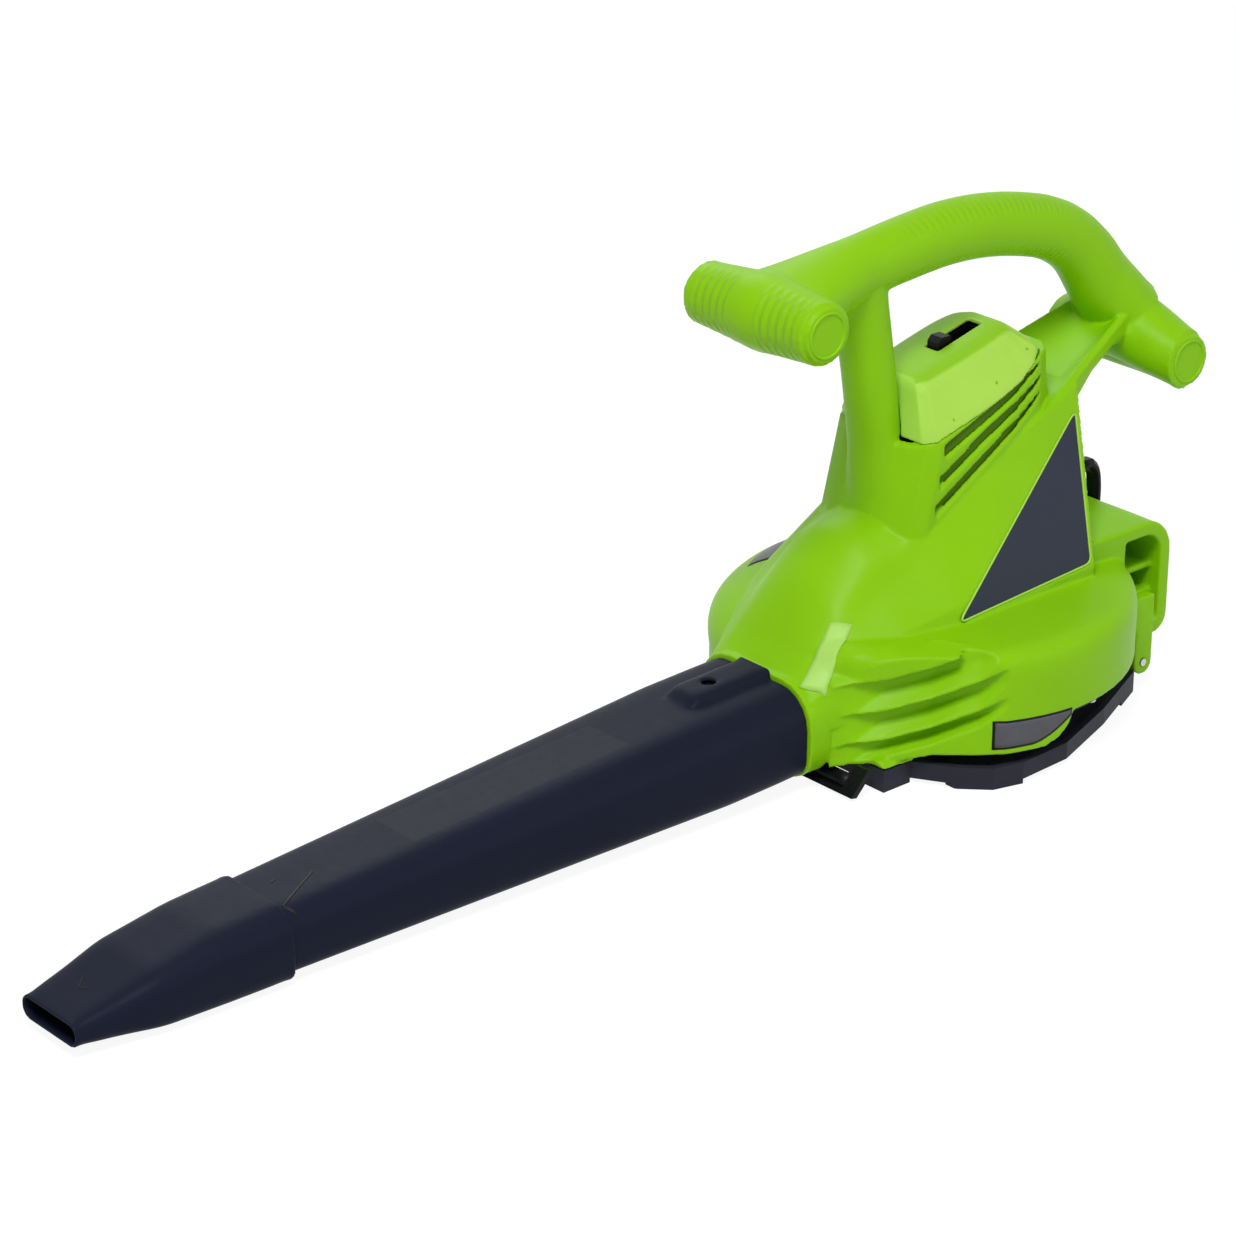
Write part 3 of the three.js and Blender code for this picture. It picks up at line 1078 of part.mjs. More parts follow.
function makeCoolingFan() {
  const [low, high] = [LOWER_BEARING + BEARING_H + 2, FIELD_BOTTOM - 9];
  const hub = ringOf(SHAFT_R + CLEAR, 12, low, low + 3);
  const plate = ringOf(10, FIELD_R - 8, low, low + 1.6, 24);
  const blade = (i) => {
    const geometry = new THREE.BoxGeometry(FIELD_R - 20, 1.4, 3);
    geometry.translate((FIELD_R - 20) / 2 + 11, 0, low + 1.5);
    return toSolid(geometry.rotateZ((i / 9) * 2 * Math.PI));
  };
  return high > low ? join(hub, plate, ...Array.from({ length: 9 }, (_, i) => blade(i))) : hub;
}

// ---------------------------------------------------------------- small pieces
function makeInlet() {
  const body = inletOpening(0).intersect(box(0, POD_REAR + 2, -50, 50, 0, 300));
  const lip = box(POD_REAR + CLEAR, POD_REAR + 3, -INLET_W / 2 - LIP, INLET_W / 2 + LIP,
    INLET_Z - INLET_H / 2 - LIP, INLET_Z + INLET_H / 2 + LIP);
  const well = box(INLET_FRONT + 4, POD_REAR + 10, -INLET_W / 2 + 3, INLET_W / 2 - 3,
    INLET_Z - INLET_H / 2 + 3, INLET_Z + INLET_H / 2 - 3);
  const pins = join(inletPin(-1, CLEAR), inletPin(1, CLEAR));
  return cut(join(body, lip), well, pins);
}

function inletPin(side, grow) {
  const y = side * 6.35;
  return box(INLET_FRONT + 1 - grow, INLET_FRONT + 20 + grow, y - 0.8 - grow, y + 0.8 + grow,
    INLET_Z - 3.2 - grow, INLET_Z + 3.2 + grow);
}

function makeHook() {
  const x = BOX_REAR - 6;
  const path = new THREE.CatmullRomCurve3([vec(x, 0, BOX_TOP - 13), vec(x, 0, BOX_TOP + 4),
    vec(x - 2, 0, BOX_TOP + 14), vec(x - 8, 0, BOX_TOP + 20), vec(x - 16, 0, BOX_TOP + 17),
    vec(x - 20, 0, BOX_TOP + 9)]);
  const section = new THREE.Shape(toPoints(roundedRing(11, 7, 2.5, 2.5, 1)));
  return toSolid(new THREE.ExtrudeGeometry(section,
    { steps: 14, bevelEnabled: false, extrudePath: path }));
}

function makeLockButton() {
  const top = tubeZ(LOCK_X) + ROOT_H / 2 + SPINE_H - TUBE_WALL - SLIDE_CLEAR;
  const under = tubeZ(LOCK_X) + ROOT_H / 2 - 2 * TUBE_WALL - SLIDE_CLEAR;
  return join(rod(LOCK_R, under - 3, top, 16, LOCK_X, TUBE_Y),
    rod(LOCK_R + 2.5, under - 4, under - CLEAR - 0.6, 16, LOCK_X, TUBE_Y));
}

// ---------------------------------------------------------------- assembly
const group = new THREE.Group();

function toMesh(name, solid, material) {
  const { vertProperties, triVerts } = solid.getMesh();
  const geometry = new THREE.BufferGeometry();
  geometry.setAttribute('position', new THREE.BufferAttribute(vertProperties, 3));
  geometry.setIndex(new THREE.BufferAttribute(triVerts, 1));
  const mesh = new THREE.Mesh(geometry, material);
  mesh.name = name;
  group.add(mesh);
}

const [nearHalf, farHalf] = halves(housingSolid());
toMesh('left_housing', nearHalf, GREEN);
toMesh('right_housing', farHalf, GREEN);
toMesh('rear_box', makeRearBox(), GREEN);
toMesh('motor_cover', makeCover(), LIGHT_GREEN);
const nearPanel = flankPlate(0, -PANEL_DEPTH + CLEAR, -0.4);
toMesh('left_side_panel', nearPanel, CHARCOAL);
toMesh('right_side_panel', flipY(nearPanel), CHARCOAL);
toMesh('volute_floor', makeFloor(), CHARCOAL);
FLOOR_SCREWS.forEach((a, i) => toMesh(`floor_screw_${i + 1}`, floorScrew(a, 0), STEEL));
HOUSING_SCREWS.forEach((p, i) => toMesh(`housing_screw_${i + 1}`, housingScrew(p, 0), STEEL));
toMesh('power_inlet', makeInlet(), BLACK);
toMesh('inlet_pin_left', inletPin(-1, 0), BRASS);
toMesh('inlet_pin_right', inletPin(1, 0), BRASS);
toMesh('cord_hook', makeHook(), BLACK);
toMesh('switch_body', makeSwitchBody(), BLACK);
toMesh('switch_knob', makeSwitchKnob(), BLACK);

toMesh('blow_tube', makeTube(), CHARCOAL);
toMesh('nozzle', makeNozzle(), CHARCOAL);
toMesh('lock_button', makeLockButton(), BLACK);

toMesh('intake_guard', makeGuard(), CHARCOAL);
const hingePin = rodAlongY(HINGE_PIN_R, GUARD_HALF_Y - 22, GUARD_HALF_Y - 0.5, HINGE_X, HINGE_Z, 20);
toMesh('hinge_pin_right', hingePin, STEEL);
toMesh('hinge_pin_left', flipY(hingePin), STEEL);
toMesh('guard_latch', makeLatch(), BLACK);
toMesh('latch_pin', rodAlongY(LATCH_PIN_R, -LATCH_LUG_Y - LUG_T, LATCH_LUG_Y + LUG_T,
  LATCH_PIVOT[0], LATCH_PIVOT[1], 16), STEEL);

const shaftTop = UPPER_BEARING + BEARING_H + 1;
toMesh('motor_shaft', rod(SHAFT_R, FAN_BOTTOM - 8, shaftTop, 24), STEEL);
toMesh('fan_wheel', makeFan(), FAN_GREY);
const nutTop = FAN_BOTTOM + 4 - 2 * CLEAR - 2;
toMesh('fan_washer', ringOf(SHAFT_R + CLEAR, 11, nutTop + CLEAR, FAN_BOTTOM + 4 - CLEAR), STEEL);
const nutBore = rod(SHAFT_R + CLEAR, nutTop - 20, nutTop + 1, 24);
toMesh('fan_nut', prism(nutOutline(9.5), nutTop - 6, nutTop).subtract(nutBore), STEEL);
toMesh('armature', makeArmature(), LAMINATION);
toMesh('lower_winding', makeWinding(FIELD_BOTTOM - 8, FIELD_BOTTOM - CLEAR), COPPER);
const windingTop = FIELD_TOP + 7;
toMesh('upper_winding', makeWinding(FIELD_TOP + CLEAR, windingTop), COPPER);
toMesh('commutator', ringOf(SHAFT_R + CLEAR, COMMUTATOR_R, windingTop + CLEAR,
  windingTop + CLEAR + COMMUTATOR_H), COPPER);
toMesh('cooling_fan', makeCoolingFan(), CHARCOAL);
const bearing = (z) => ringOf(SHAFT_R + CLEAR, BEARING_R, z, z + BEARING_H);
toMesh('lower_bearing', bearing(LOWER_BEARING), STEEL);
toMesh('upper_bearing', bearing(UPPER_BEARING), STEEL);
toMesh('motor_field', makeField(), LAMINATION);
toMesh('field_coil_front', makeFieldCoil(-1), COPPER);
toMesh('field_coil_rear', makeFieldCoil(1), COPPER);
toMesh('lower_bracket', makeLowerBracket(), BLACK);
toMesh('upper_bracket', makeUpperBracket(), BLACK);
toMesh('brush_holder_right', makeBrushHolder(), BRASS);
toMesh('brush_holder_left', flipY(makeBrushHolder()), BRASS);
toMesh('brush_right', makeBrush(), CARBON);
toMesh('brush_left', flipY(makeBrush()), CARBON);
toMesh('brush_spring_right', makeBrushSpring(), STEEL);
toMesh('brush_spring_left', flipY(makeBrushSpring()), STEEL);

const whole = new THREE.Box3().setFromObject(group);
const middle = whole.getCenter(new THREE.Vector3());
group.position.set(-middle.x, -middle.y, -whole.min.z);

export default group;
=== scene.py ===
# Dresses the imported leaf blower: smooth moulded skins, plastics, small marks, floor and lights.
# Unless a comment says otherwise, places and sizes are millimetres from the fan's axis and the
# floor, with -x towards the nozzle and -y to the left of the user.
import bmesh
import bpy
import json
import math
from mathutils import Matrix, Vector
from mathutils.bvhtree import BVHTree


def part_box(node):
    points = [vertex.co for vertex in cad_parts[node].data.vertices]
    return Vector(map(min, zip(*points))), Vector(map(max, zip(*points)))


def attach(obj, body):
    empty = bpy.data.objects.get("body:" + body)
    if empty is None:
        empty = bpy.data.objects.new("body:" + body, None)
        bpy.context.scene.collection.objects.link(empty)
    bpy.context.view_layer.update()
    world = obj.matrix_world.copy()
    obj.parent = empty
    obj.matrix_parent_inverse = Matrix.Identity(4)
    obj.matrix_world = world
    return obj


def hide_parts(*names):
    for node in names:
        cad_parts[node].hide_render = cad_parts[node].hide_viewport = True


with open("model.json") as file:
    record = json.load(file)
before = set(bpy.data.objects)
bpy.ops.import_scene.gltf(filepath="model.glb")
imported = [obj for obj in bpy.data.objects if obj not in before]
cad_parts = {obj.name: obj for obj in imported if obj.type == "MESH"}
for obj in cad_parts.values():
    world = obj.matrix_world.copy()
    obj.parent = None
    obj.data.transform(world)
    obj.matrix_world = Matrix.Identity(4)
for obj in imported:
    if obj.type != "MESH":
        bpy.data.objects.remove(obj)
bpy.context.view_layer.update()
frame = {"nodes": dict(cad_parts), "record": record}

MM = 0.001
DOWN, RIGHTWARDS = Vector((0, 0, -1)), Vector((0, 1, 0))
SHARP = 30           # degrees between two faces, over which their edge stays sharp
PRINCIPLED = "Principled BSDF"


def middle(name, axis):
    """The middle of a node's box along an axis, in metres."""
    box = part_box(name)
    return (box[0][axis] + box[1][axis]) / 2


AXIS_X, AXIS_Y = middle("fan_wheel", 0), middle("fan_wheel", 1)    # the fan's axis
BOX_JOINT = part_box("rear_box")[0][0]                               # where the rear box begins


def at(x, y, z):
    """A point given in millimetres from the fan's axis and the floor."""
    return Vector((AXIS_X + x * MM, AXIS_Y + y * MM, z * MM))


# ------------------------------------------------------------------ shader helpers
def node(tree, kind, **settings):
    """A new node; a setting that begins with in_ is the value of an input."""
    made = tree.nodes.new(kind)
    for key, value in settings.items():
        if key.startswith("in_"):
            made.inputs[key[3:].replace("_", " ")].default_value = value
        else:
            setattr(made, key, value)
    return made


def feed(tree, socket, value):
    """Puts a number or another node's output into a socket."""
    if isinstance(value, (int, float)):
        socket.default_value = value
    else:
        tree.links.new(value, socket)


def math_node(tree, operation, *values):
    """The output of a math node that is fed with outputs or numbers."""
    made = node(tree, "ShaderNodeMath", operation=operation)
    for socket, value in zip(made.inputs, values):
        feed(tree, socket, value)
    return made.outputs[0]


def product(tree, first, *others):
    """The product of two or more outputs or numbers."""
    for other in others:
        first = math_node(tree, "MULTIPLY", first, other)
    return first


def coords(tree):
    """The object's own coordinates, in metres."""
    made = tree.nodes.get("coords") or node(tree, "ShaderNodeTexCoord", name="coords")
    return made.outputs["Object"]


def noise(tree, size):
    """Noise with features of a size in millimetres."""
    made = node(tree, "ShaderNodeTexNoise", in_Scale=1 / (size * MM), in_Detail=2.0,
                in_Roughness=0.55)
    tree.links.new(coords(tree), made.inputs["Vector"])
    return made.outputs["Fac"]


def ranged(tree, value, low, high, start=0.3, end=0.7):
    """Goes smoothly from low to high while the value goes from start to end."""
    made = node(tree, "ShaderNodeMapRange", interpolation_type="SMOOTHSTEP", in_From_Min=start,
                in_From_Max=end, in_To_Min=low, in_To_Max=high)
    tree.links.new(value, made.inputs["Value"])
    return made.outputs["Result"]


def rising(tree, value, span):
    """0 before a span of values and 1 after it."""
    return ranged(tree, value, 0.0, 1.0, *span)


def falling(tree, value, span):
    """1 before a span of values and 0 after it."""
    return ranged(tree, value, 1.0, 0.0, *span)


def between(tree, first, second, share):
    """A colour or output mixed towards a second one by a share."""
    made = node(tree, "ShaderNodeMix", data_type="RGBA")
    for socket, value in ((made.inputs["A"], first), (made.inputs["B"], second)):
        if isinstance(value, tuple):
            socket.default_value = (*value, 1)
        else:
            tree.links.new(value, socket)
    feed(tree, made.inputs["Factor"], share)
    return made.outputs["Result"]


def plastic(name, colour, rough, grain=0.9, depth=0.02, cloud=60.0, vary=0.06, spec=0.14):
    """Moulded plastic: a fine texture, faint clouds in the colour and patches in the gloss.

    Grain and depth are the texture's, cloud is the clouds' size and vary their strength.
    """
    patch_size, patch_strength = 6.0, 0.02
    made = bpy.data.materials.new(name)
    made.use_nodes = True
    tree = made.node_tree
    shader = tree.nodes[PRINCIPLED]
    shader.inputs["Specular IOR Level"].default_value = spec
    dark = tuple(c * (1 - vary) for c in colour)
    bright = tuple(min(c * (1 + vary), 1) for c in colour)
    tree.links.new(between(tree, dark, bright, noise(tree, cloud)), shader.inputs["Base Color"])
    gloss = ranged(tree, noise(tree, patch_size), rough - patch_strength, rough + patch_strength)
    tree.links.new(gloss, shader.inputs["Roughness"])
    bump = node(tree, "ShaderNodeBump", name="texture", in_Strength=0.6, in_Distance=depth * MM)
    tree.links.new(noise(tree, grain), bump.inputs["Height"])
    tree.links.new(bump.outputs["Normal"], shader.inputs["Normal"])
    return made


def metal(name, colour, rough):
    """Bare metal with the same kind of texture as the plastics."""
    made = plastic(name, colour, rough, grain=0.5, depth=0.008, vary=0.1)
    made.node_tree.nodes[PRINCIPLED].inputs["Metallic"].default_value = 1.0
    return made


def add_relief(material, height, depth):
    """Adds a second bump, in millimetres, under the material's own texture."""
    tree = material.node_tree
    relief = node(tree, "ShaderNodeBump", in_Strength=1.0, in_Distance=depth * MM)
    tree.links.new(height, relief.inputs["Height"])
    tree.links.new(relief.outputs["Normal"], tree.nodes["texture"].inputs["Normal"])


def tint(material, colour, share):
    """Mixes the material's colour towards a second one by a share."""
    tree = material.node_tree
    socket = tree.nodes[PRINCIPLED].inputs["Base Color"]
    tone = socket.links[0].from_socket
    tree.links.new(between(tree, tone, colour, share), socket)


def local_axes(tree):
    """Outputs with x, y and z in millimetres from the fan's axis and the floor."""
    split = node(tree, "ShaderNodeSeparateXYZ")
    tree.links.new(coords(tree), split.inputs[0])
    moved = [math_node(tree, "SUBTRACT", split.outputs[0], AXIS_X),
             math_node(tree, "SUBTRACT", split.outputs[1], AXIS_Y), split.outputs[2]]
    return [math_node(tree, "DIVIDE", value, MM) for value in moved]


# ------------------------------------------------------------------ materials
def housing_green():
    """Body green, with fine ribs over the handle's arch and round the front grip."""
    relief_depth = 0.25
    centre_x, centre_z, radius, arch_pitch = 30.0, 150.0, 150, 4.6    # of the handle's arch
    grip_pitch, grip_height = 6.2, 1.6          # the height is a share of the arch ribs' height
    made = plastic("green", (0.25, 0.57, 0.002), 0.42, grain=0.8, depth=0.012)
    tree = made.node_tree
    x, y, z = local_axes(tree)
    aside = math_node(tree, "ABSOLUTE", y)
    angle = math_node(tree, "ARCTAN2", math_node(tree, "SUBTRACT", x, centre_x),
                      math_node(tree, "SUBTRACT", z, centre_z))
    wave = math_node(tree, "SINE", product(tree, angle, 2 * math.pi * radius / arch_pitch))
    arch = product(tree, wave, rising(tree, x, (-46.0, -30.0)), falling(tree, x, (96.0, 110.0)),
                   falling(tree, aside, (11.0, 16.0)), rising(tree, z, (268.0, 276.0)))
    rings = math_node(tree, "COSINE", product(tree, y, 2 * math.pi / grip_pitch))
    grip = product(tree, rings, falling(tree, x, (-148.0, -138.0)),
                   rising(tree, aside, (9.0, 14.0)), falling(tree, aside, (42.0, 46.0)),
                   rising(tree, z, (255.0, 262.0)), grip_height)
    add_relief(made, math_node(tree, "ADD", arch, grip), relief_depth)
    return made


def cover_green():
    """Light green of the motor cover, with painted shade that darkens its flat top."""
    made = plastic("light_green", (0.40, 0.69, 0.085), 0.45, grain=0.8, depth=0.012)
    tree = made.node_tree
    normal = node(tree, "ShaderNodeSeparateXYZ")
    tree.links.new(node(tree, "ShaderNodeNewGeometry").outputs["True Normal"], normal.inputs[0])
    shaded_top = rising(tree, normal.outputs["Z"], (0.80, 0.93))
    # painted shade: faces that look up are mixed towards a darker green
    tint(made, (0.27, 0.55, 0.02), shaded_top)
    return made


def labelled_charcoal():
    """The tube's plastic, with a slightly lighter bare rectangle on top for a label."""
    length, width, soft = (-419, -262), (-24, 11.5), 0.4    # the rectangle and its edge
    made = plastic("tube_charcoal", (0.010, 0.0125, 0.027), 0.42, grain=0.7, depth=0.015,
                   vary=0.04, spec=0.05)
    tree = made.node_tree
    x, y, z = local_axes(tree)
    inside = [kind(tree, value, (limit - soft, limit + soft))
              for value, limits in ((x, length), (y, width))
              for kind, limit in zip((rising, falling), limits)]
    tint(made, (0.018, 0.020, 0.033), product(tree, *inside, rising(tree, z, (36.0, 37.0))))
    return made


GREEN = housing_green()
LIGHT = cover_green()
CHARCOAL = plastic("charcoal", (0.011, 0.0135, 0.027), 0.42, grain=0.7, depth=0.015, vary=0.04)
TUBE = labelled_charcoal()
# painted shade: a darker green for the sheets behind the air slots, standing in for the shade in
# the slots' depth
SLOT_SHADE = plastic("painted_slot_shade", (0.075, 0.19, 0.002), 0.6)
GUARD = plastic("guard", (0.022, 0.023, 0.036), 0.55, grain=0.7, depth=0.03, vary=0.08)
PANEL = plastic("panel", (0.03, 0.036, 0.058), 0.5, grain=0.6, depth=0.03)
BLACK = plastic("black", (0.004, 0.004, 0.006), 0.4, grain=0.7, depth=0.015, vary=0.2)
GREY = plastic("grey", (0.09, 0.1, 0.11), 0.5)
# painted highlight: light green for the beads along the side panels' edges
EDGE_HIGHLIGHT = plastic("edge_highlight", (0.40, 0.70, 0.09), 0.4)
# painted highlight: pale green for the flat on the ridge over the duct
RIDGE_HIGHLIGHT = plastic("ridge_highlight", (0.42, 0.72, 0.14), 0.4)
PLATE = plastic("plate", (0.10, 0.10, 0.115), 0.35, vary=0.15, cloud=8.0)
STEEL = metal("steel", (0.55, 0.56, 0.58), 0.35)
BRASS = metal("brass", (0.6, 0.42, 0.15), 0.35)
COPPER = metal("copper", (0.16, 0.06, 0.025), 0.4)
LAMINATION = metal("laminations", (0.10, 0.105, 0.115), 0.5)
CARBON = plastic("carbon", (0.03, 0.03, 0.03), 0.8)

BY_SLOT = {
    "green_plastic": GREEN, "light_green_plastic": LIGHT, "panel_plastic": PANEL,
    "charcoal_plastic": CHARCOAL, "black_plastic": BLACK, "grey_plastic": GREY,
    "steel": STEEL, "brass": BRASS, "copper": COPPER, "lamination_steel": LAMINATION,
    "carbon": CARBON,
}


def finish_nodes():
    """Gives each CAD node the material of its slot; the guard and the floor are coarser."""
    for part in frame["record"]["subparts"]:
        finish = BY_SLOT[part["material_slot"]]
        if part["node"] in ("intake_guard", "volute_floor"):
            finish = GUARD
        for slot in frame["nodes"][part["node"]].material_slots:
            slot.material = finish


# ------------------------------------------------------------------ shading of the CAD nodes
def new_group(name):
    """An empty node group for a modifier, with its input and output nodes."""
    group = bpy.data.node_groups.new(name, "GeometryNodeTree")
    group.interface.new_socket("Geometry", in_out="INPUT", socket_type="NodeSocketGeometry")
    group.interface.new_socket("Geometry", in_out="OUTPUT", socket_type="NodeSocketGeometry")
    return group, node(group, "NodeGroupInput"), node(group, "NodeGroupOutput")


def shade_smooth_group():
    """A modifier's node group: smooth shading, with edges over the sharp angle kept sharp."""
    group, start, end = new_group("smooth_by_angle")
    links = group.links
    angle = node(group, "GeometryNodeInputMeshEdgeAngle")
    over = node(group, "FunctionNodeCompare", data_type="FLOAT", operation="GREATER_THAN")
    over.inputs["B"].default_value = math.radians(SHARP)
    links.new(angle.outputs["Unsigned Angle"], over.inputs["A"])
    faces = node(group, "GeometryNodeSetShadeSmooth", domain="FACE")
    edges = node(group, "GeometryNodeSetShadeSmooth", domain="EDGE")
    edges.inputs["Shade Smooth"].default_value = False
    links.new(start.outputs[0], faces.inputs["Geometry"])
    links.new(faces.outputs["Geometry"], edges.inputs["Geometry"])
    links.new(over.outputs["Result"], edges.inputs["Selection"])
    links.new(edges.outputs["Geometry"], end.inputs[0])
    return group


SMOOTH = shade_smooth_group()


def smooth(obj, bevel=0.0):
    """Rounds an object's sharp edges by a width in millimetres, if any, and shades it smooth."""
    bevel_angle = 35    # degrees
    if bevel:
        rounding = obj.modifiers.new("rounding", "BEVEL")
        rounding.width = bevel * MM
        rounding.segments = 2
        rounding.limit_method = "ANGLE"
        rounding.angle_limit = math.radians(bevel_angle)
        rounding.use_clamp_overlap = True
        rounding.harden_normals = False
    shading = obj.modifiers.new("shading", "NODES")
    shading.node_group = SMOOTH


# ------------------------------------------------------------------ smooth moulded skins
def gathered(nodes):
    """The CAD nodes' faces in one bmesh, with the corners that coincide made one."""
    same_place = 0.005
    made = bmesh.new()
    for name in nodes:
        made.from_mesh(frame["nodes"][name].data)
    bmesh.ops.remove_doubles(made, verts=made.verts, dist=same_place * MM)
    return made


def in_joint(edge):
    """Whether an edge lies along a joint between two shells that one skin covers."""
    near_halves, near_box = 0.3, 0.6
    points = [vert.co for vert in edge.verts]
    return (all(abs(p.y - AXIS_Y) < near_halves * MM for p in points)
            or all(abs(p.x - BOX_JOINT) < near_box * MM for p in points))


def new_object(name, data):
    """A new object in the scene."""
    obj = bpy.data.objects.new(name, data)
    bpy.context.scene.collection.objects.link(obj)
    return obj


def sharp_lines(nodes, angle):
    """An object made of the CAD's sharp edges alone."""
    made = gathered(nodes)
    limit = math.radians(angle)
    kept = [e for e in made.edges
            if len(e.link_faces) == 2 and e.calc_face_angle(0) > limit and not in_joint(e)]
    points = [tuple(vert.co) for edge in kept for vert in edge.verts]
    made.free()
    mesh = bpy.data.meshes.new("sharp")
    mesh.from_pydata(points, [(2 * i, 2 * i + 1) for i in range(len(points) // 2)], [])
    return new_object("sharp", mesh)


def fairing_group(lines, near, far, rounds):
    """Evens out facets, in full beyond a distance from the sharp lines and not at all nearer
    than another: blurred, with what the blur took away put back, so that the size is kept."""
    group, start, end = new_group("fairing")
    links = group.links
    edges = node(group, "GeometryNodeObjectInfo")
    edges.inputs["Object"].default_value = lines
    reach = node(group, "GeometryNodeProximity", target_element="EDGES")
    links.new(edges.outputs["Geometry"], reach.inputs[0])
    weight = node(group, "ShaderNodeMapRange", interpolation_type="SMOOTHSTEP",
                  in_From_Min=near * MM, in_From_Max=far * MM)
    links.new(reach.outputs["Distance"], weight.inputs["Value"])
    place = node(group, "GeometryNodeInputPosition").outputs[0]

    def stored(geometry, value, kind, name):
        """Keeps a value on the points, as it is before they move."""
        store = node(group, "GeometryNodeStoreNamedAttribute", data_type=kind, domain="POINT")
        store.inputs["Name"].default_value = name
        links.new(geometry, store.inputs["Geometry"])
        links.new(value, store.inputs["Value"])
        named = node(group, "GeometryNodeInputNamedAttribute", data_type=kind)
        named.inputs["Name"].default_value = name
        return store.outputs["Geometry"], named.outputs["Attribute"]

    def blurred(value, share):
        blur = node(group, "GeometryNodeBlurAttribute", data_type="FLOAT_VECTOR")
        blur.inputs["Iterations"].default_value = rounds
        links.new(value, blur.inputs["Value"])
        links.new(share, blur.inputs["Weight"])
        return blur.outputs["Value"]

    def vector_math(operation, first, second):
        made = node(group, "ShaderNodeVectorMath", operation=operation)
        links.new(first, made.inputs[0])
        links.new(second, made.inputs[1])
        return made.outputs["Vector"]

    geometry, share = stored(start.outputs[0], weight.outputs["Result"], "FLOAT", "share")
    geometry, once = stored(geometry, blurred(place, share), "FLOAT_VECTOR", "once")
    rest = vector_math("SUBTRACT", place, once)
    geometry, back = stored(geometry, blurred(rest, share), "FLOAT_VECTOR", "back")
    move = node(group, "GeometryNodeSetPosition")
    links.new(geometry, move.inputs["Geometry"])
    links.new(vector_math("ADD", once, back), move.inputs["Position"])
    links.new(move.outputs["Geometry"], end.inputs[0])
    return group


def soft_skin(nodes, voxel, near, far, rounds, edge_rounds, angle=SHARP):
    """A fine mesh round the CAD nodes: smooth faces, edges with a small radius, then thinned.

    The faces are evened out with so many rounds, from near to far of the edges over the angle,
    and the edges themselves with edge_rounds.
    """
    everywhere = (-1.0, 0.0)    # a span that ends before any distance, so its weight is full
    kept_faces = 0.4            # share that the thinning leaves
    lines = sharp_lines(nodes, angle)
    shell = gathered(nodes)
    mesh = bpy.data.meshes.new("shell")
    shell.to_mesh(mesh)
    shell.free()
    obj = new_object("shell", mesh)
    remesh = obj.modifiers.new("remesh", "REMESH")
    remesh.mode = "VOXEL"
    remesh.voxel_size = voxel * MM
    for span, count in (((near, far), rounds), (everywhere, edge_rounds)):
        fairing = obj.modifiers.new("fairing", "NODES")
        fairing.node_group = fairing_group(lines, *span, count)
    thinning = obj.modifiers.new("thinning", "DECIMATE")
    thinning.ratio = kept_faces
    deps = bpy.context.evaluated_depsgraph_get()
    fine = bpy.data.meshes.new_from_object(obj.evaluated_get(deps))
    for name in ("share", "once", "back"):
        if name in fine.attributes:
            fine.attributes.remove(fine.attributes[name])
    for leftover in (obj, lines):
        bpy.data.objects.remove(leftover)
    return fine


def piece(name, mesh, material, body, *replaced):
    """A visible piece of one material that rides on a body, in place of any CAD nodes named."""
    mesh.materials.clear()
    mesh.materials.append(material)
    mesh.shade_smooth()
    obj = new_object(name, mesh)
    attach(obj, body)
    if replaced:
        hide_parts(*replaced)
    return obj


def build_housing():
    """One skin over both halves of the housing and the rear box."""
    nodes = ("left_housing", "right_housing", "rear_box")
    mesh = soft_skin(nodes, voxel=1.1, near=1.5, far=9.0, rounds=120, edge_rounds=2)
    skin = piece("housing_skin", mesh, GREEN, "housing", *nodes)
    return skin


def build_cover():
    """The motor cover's skin, finer than the housing's."""
    mesh = soft_skin(("motor_cover",), voxel=0.7, near=1.0, far=6.0, rounds=40, edge_rounds=3)
    skin = piece("cover_skin", mesh, LIGHT, "housing", "motor_cover")
    return skin


def build_tube(name, body):
    """The tube or its nozzle with soft long corners; only its rims and its key stay sharp."""
    mesh = soft_skin((name,), voxel=1.0, near=1.0, far=8.0, rounds=90, edge_rounds=1, angle=75)
    skin = piece(f"{name}_skin", mesh, TUBE, body, name)
    return skin


# ------------------------------------------------------------------ marks and bare plates
def surface(obj):
    """An object's surface, to land marks on."""
    return BVHTree.FromObject(obj, bpy.context.evaluated_depsgraph_get())


def landed(tree, start, direction, lift):
    """Where a ray meets the surface, lifted off it by some millimetres."""
    place, normal, _, _ = tree.ray_cast(start, direction)
    return place + normal * lift * MM


def bead(name, points, radius, material, body, cyclic=False):
    """A round bead along points."""
    curve = bpy.data.curves.new(name, "CURVE")
    curve.dimensions = "3D"
    curve.bevel_depth = radius * MM
    curve.bevel_resolution = 3
    curve.use_fill_caps = not cyclic
    line = curve.splines.new("POLY")
    line.points.add(len(points) - 1)
    for point, place in zip(line.points, points):
        point.co = (*place, 1)
    line.use_cyclic_u = cyclic
    shape = new_object(name, curve)
    deps = bpy.context.evaluated_depsgraph_get()
    mesh = bpy.data.meshes.new_from_object(shape.evaluated_get(deps))
    bpy.data.objects.remove(shape)
    piece(name, mesh, material, body)


def stroke(name, tree, ends, body, radius, sunk):
    """A black bead along a moulded line that follows the surface under it, given its ends from
    above; its black is painted shade of the engraved line.
    """
    count, above = 10, 150
    (x0, y0), (x1, y1) = ends
    points = [landed(tree, at(x0 + (x1 - x0) * i / count, y0 + (y1 - y0) * i / count, above),
                     DOWN, -sunk) for i in range(count + 1)]
    # painted shade: the mark is black where the engraved line is shaded
    bead(name, points, radius, BLACK, body)


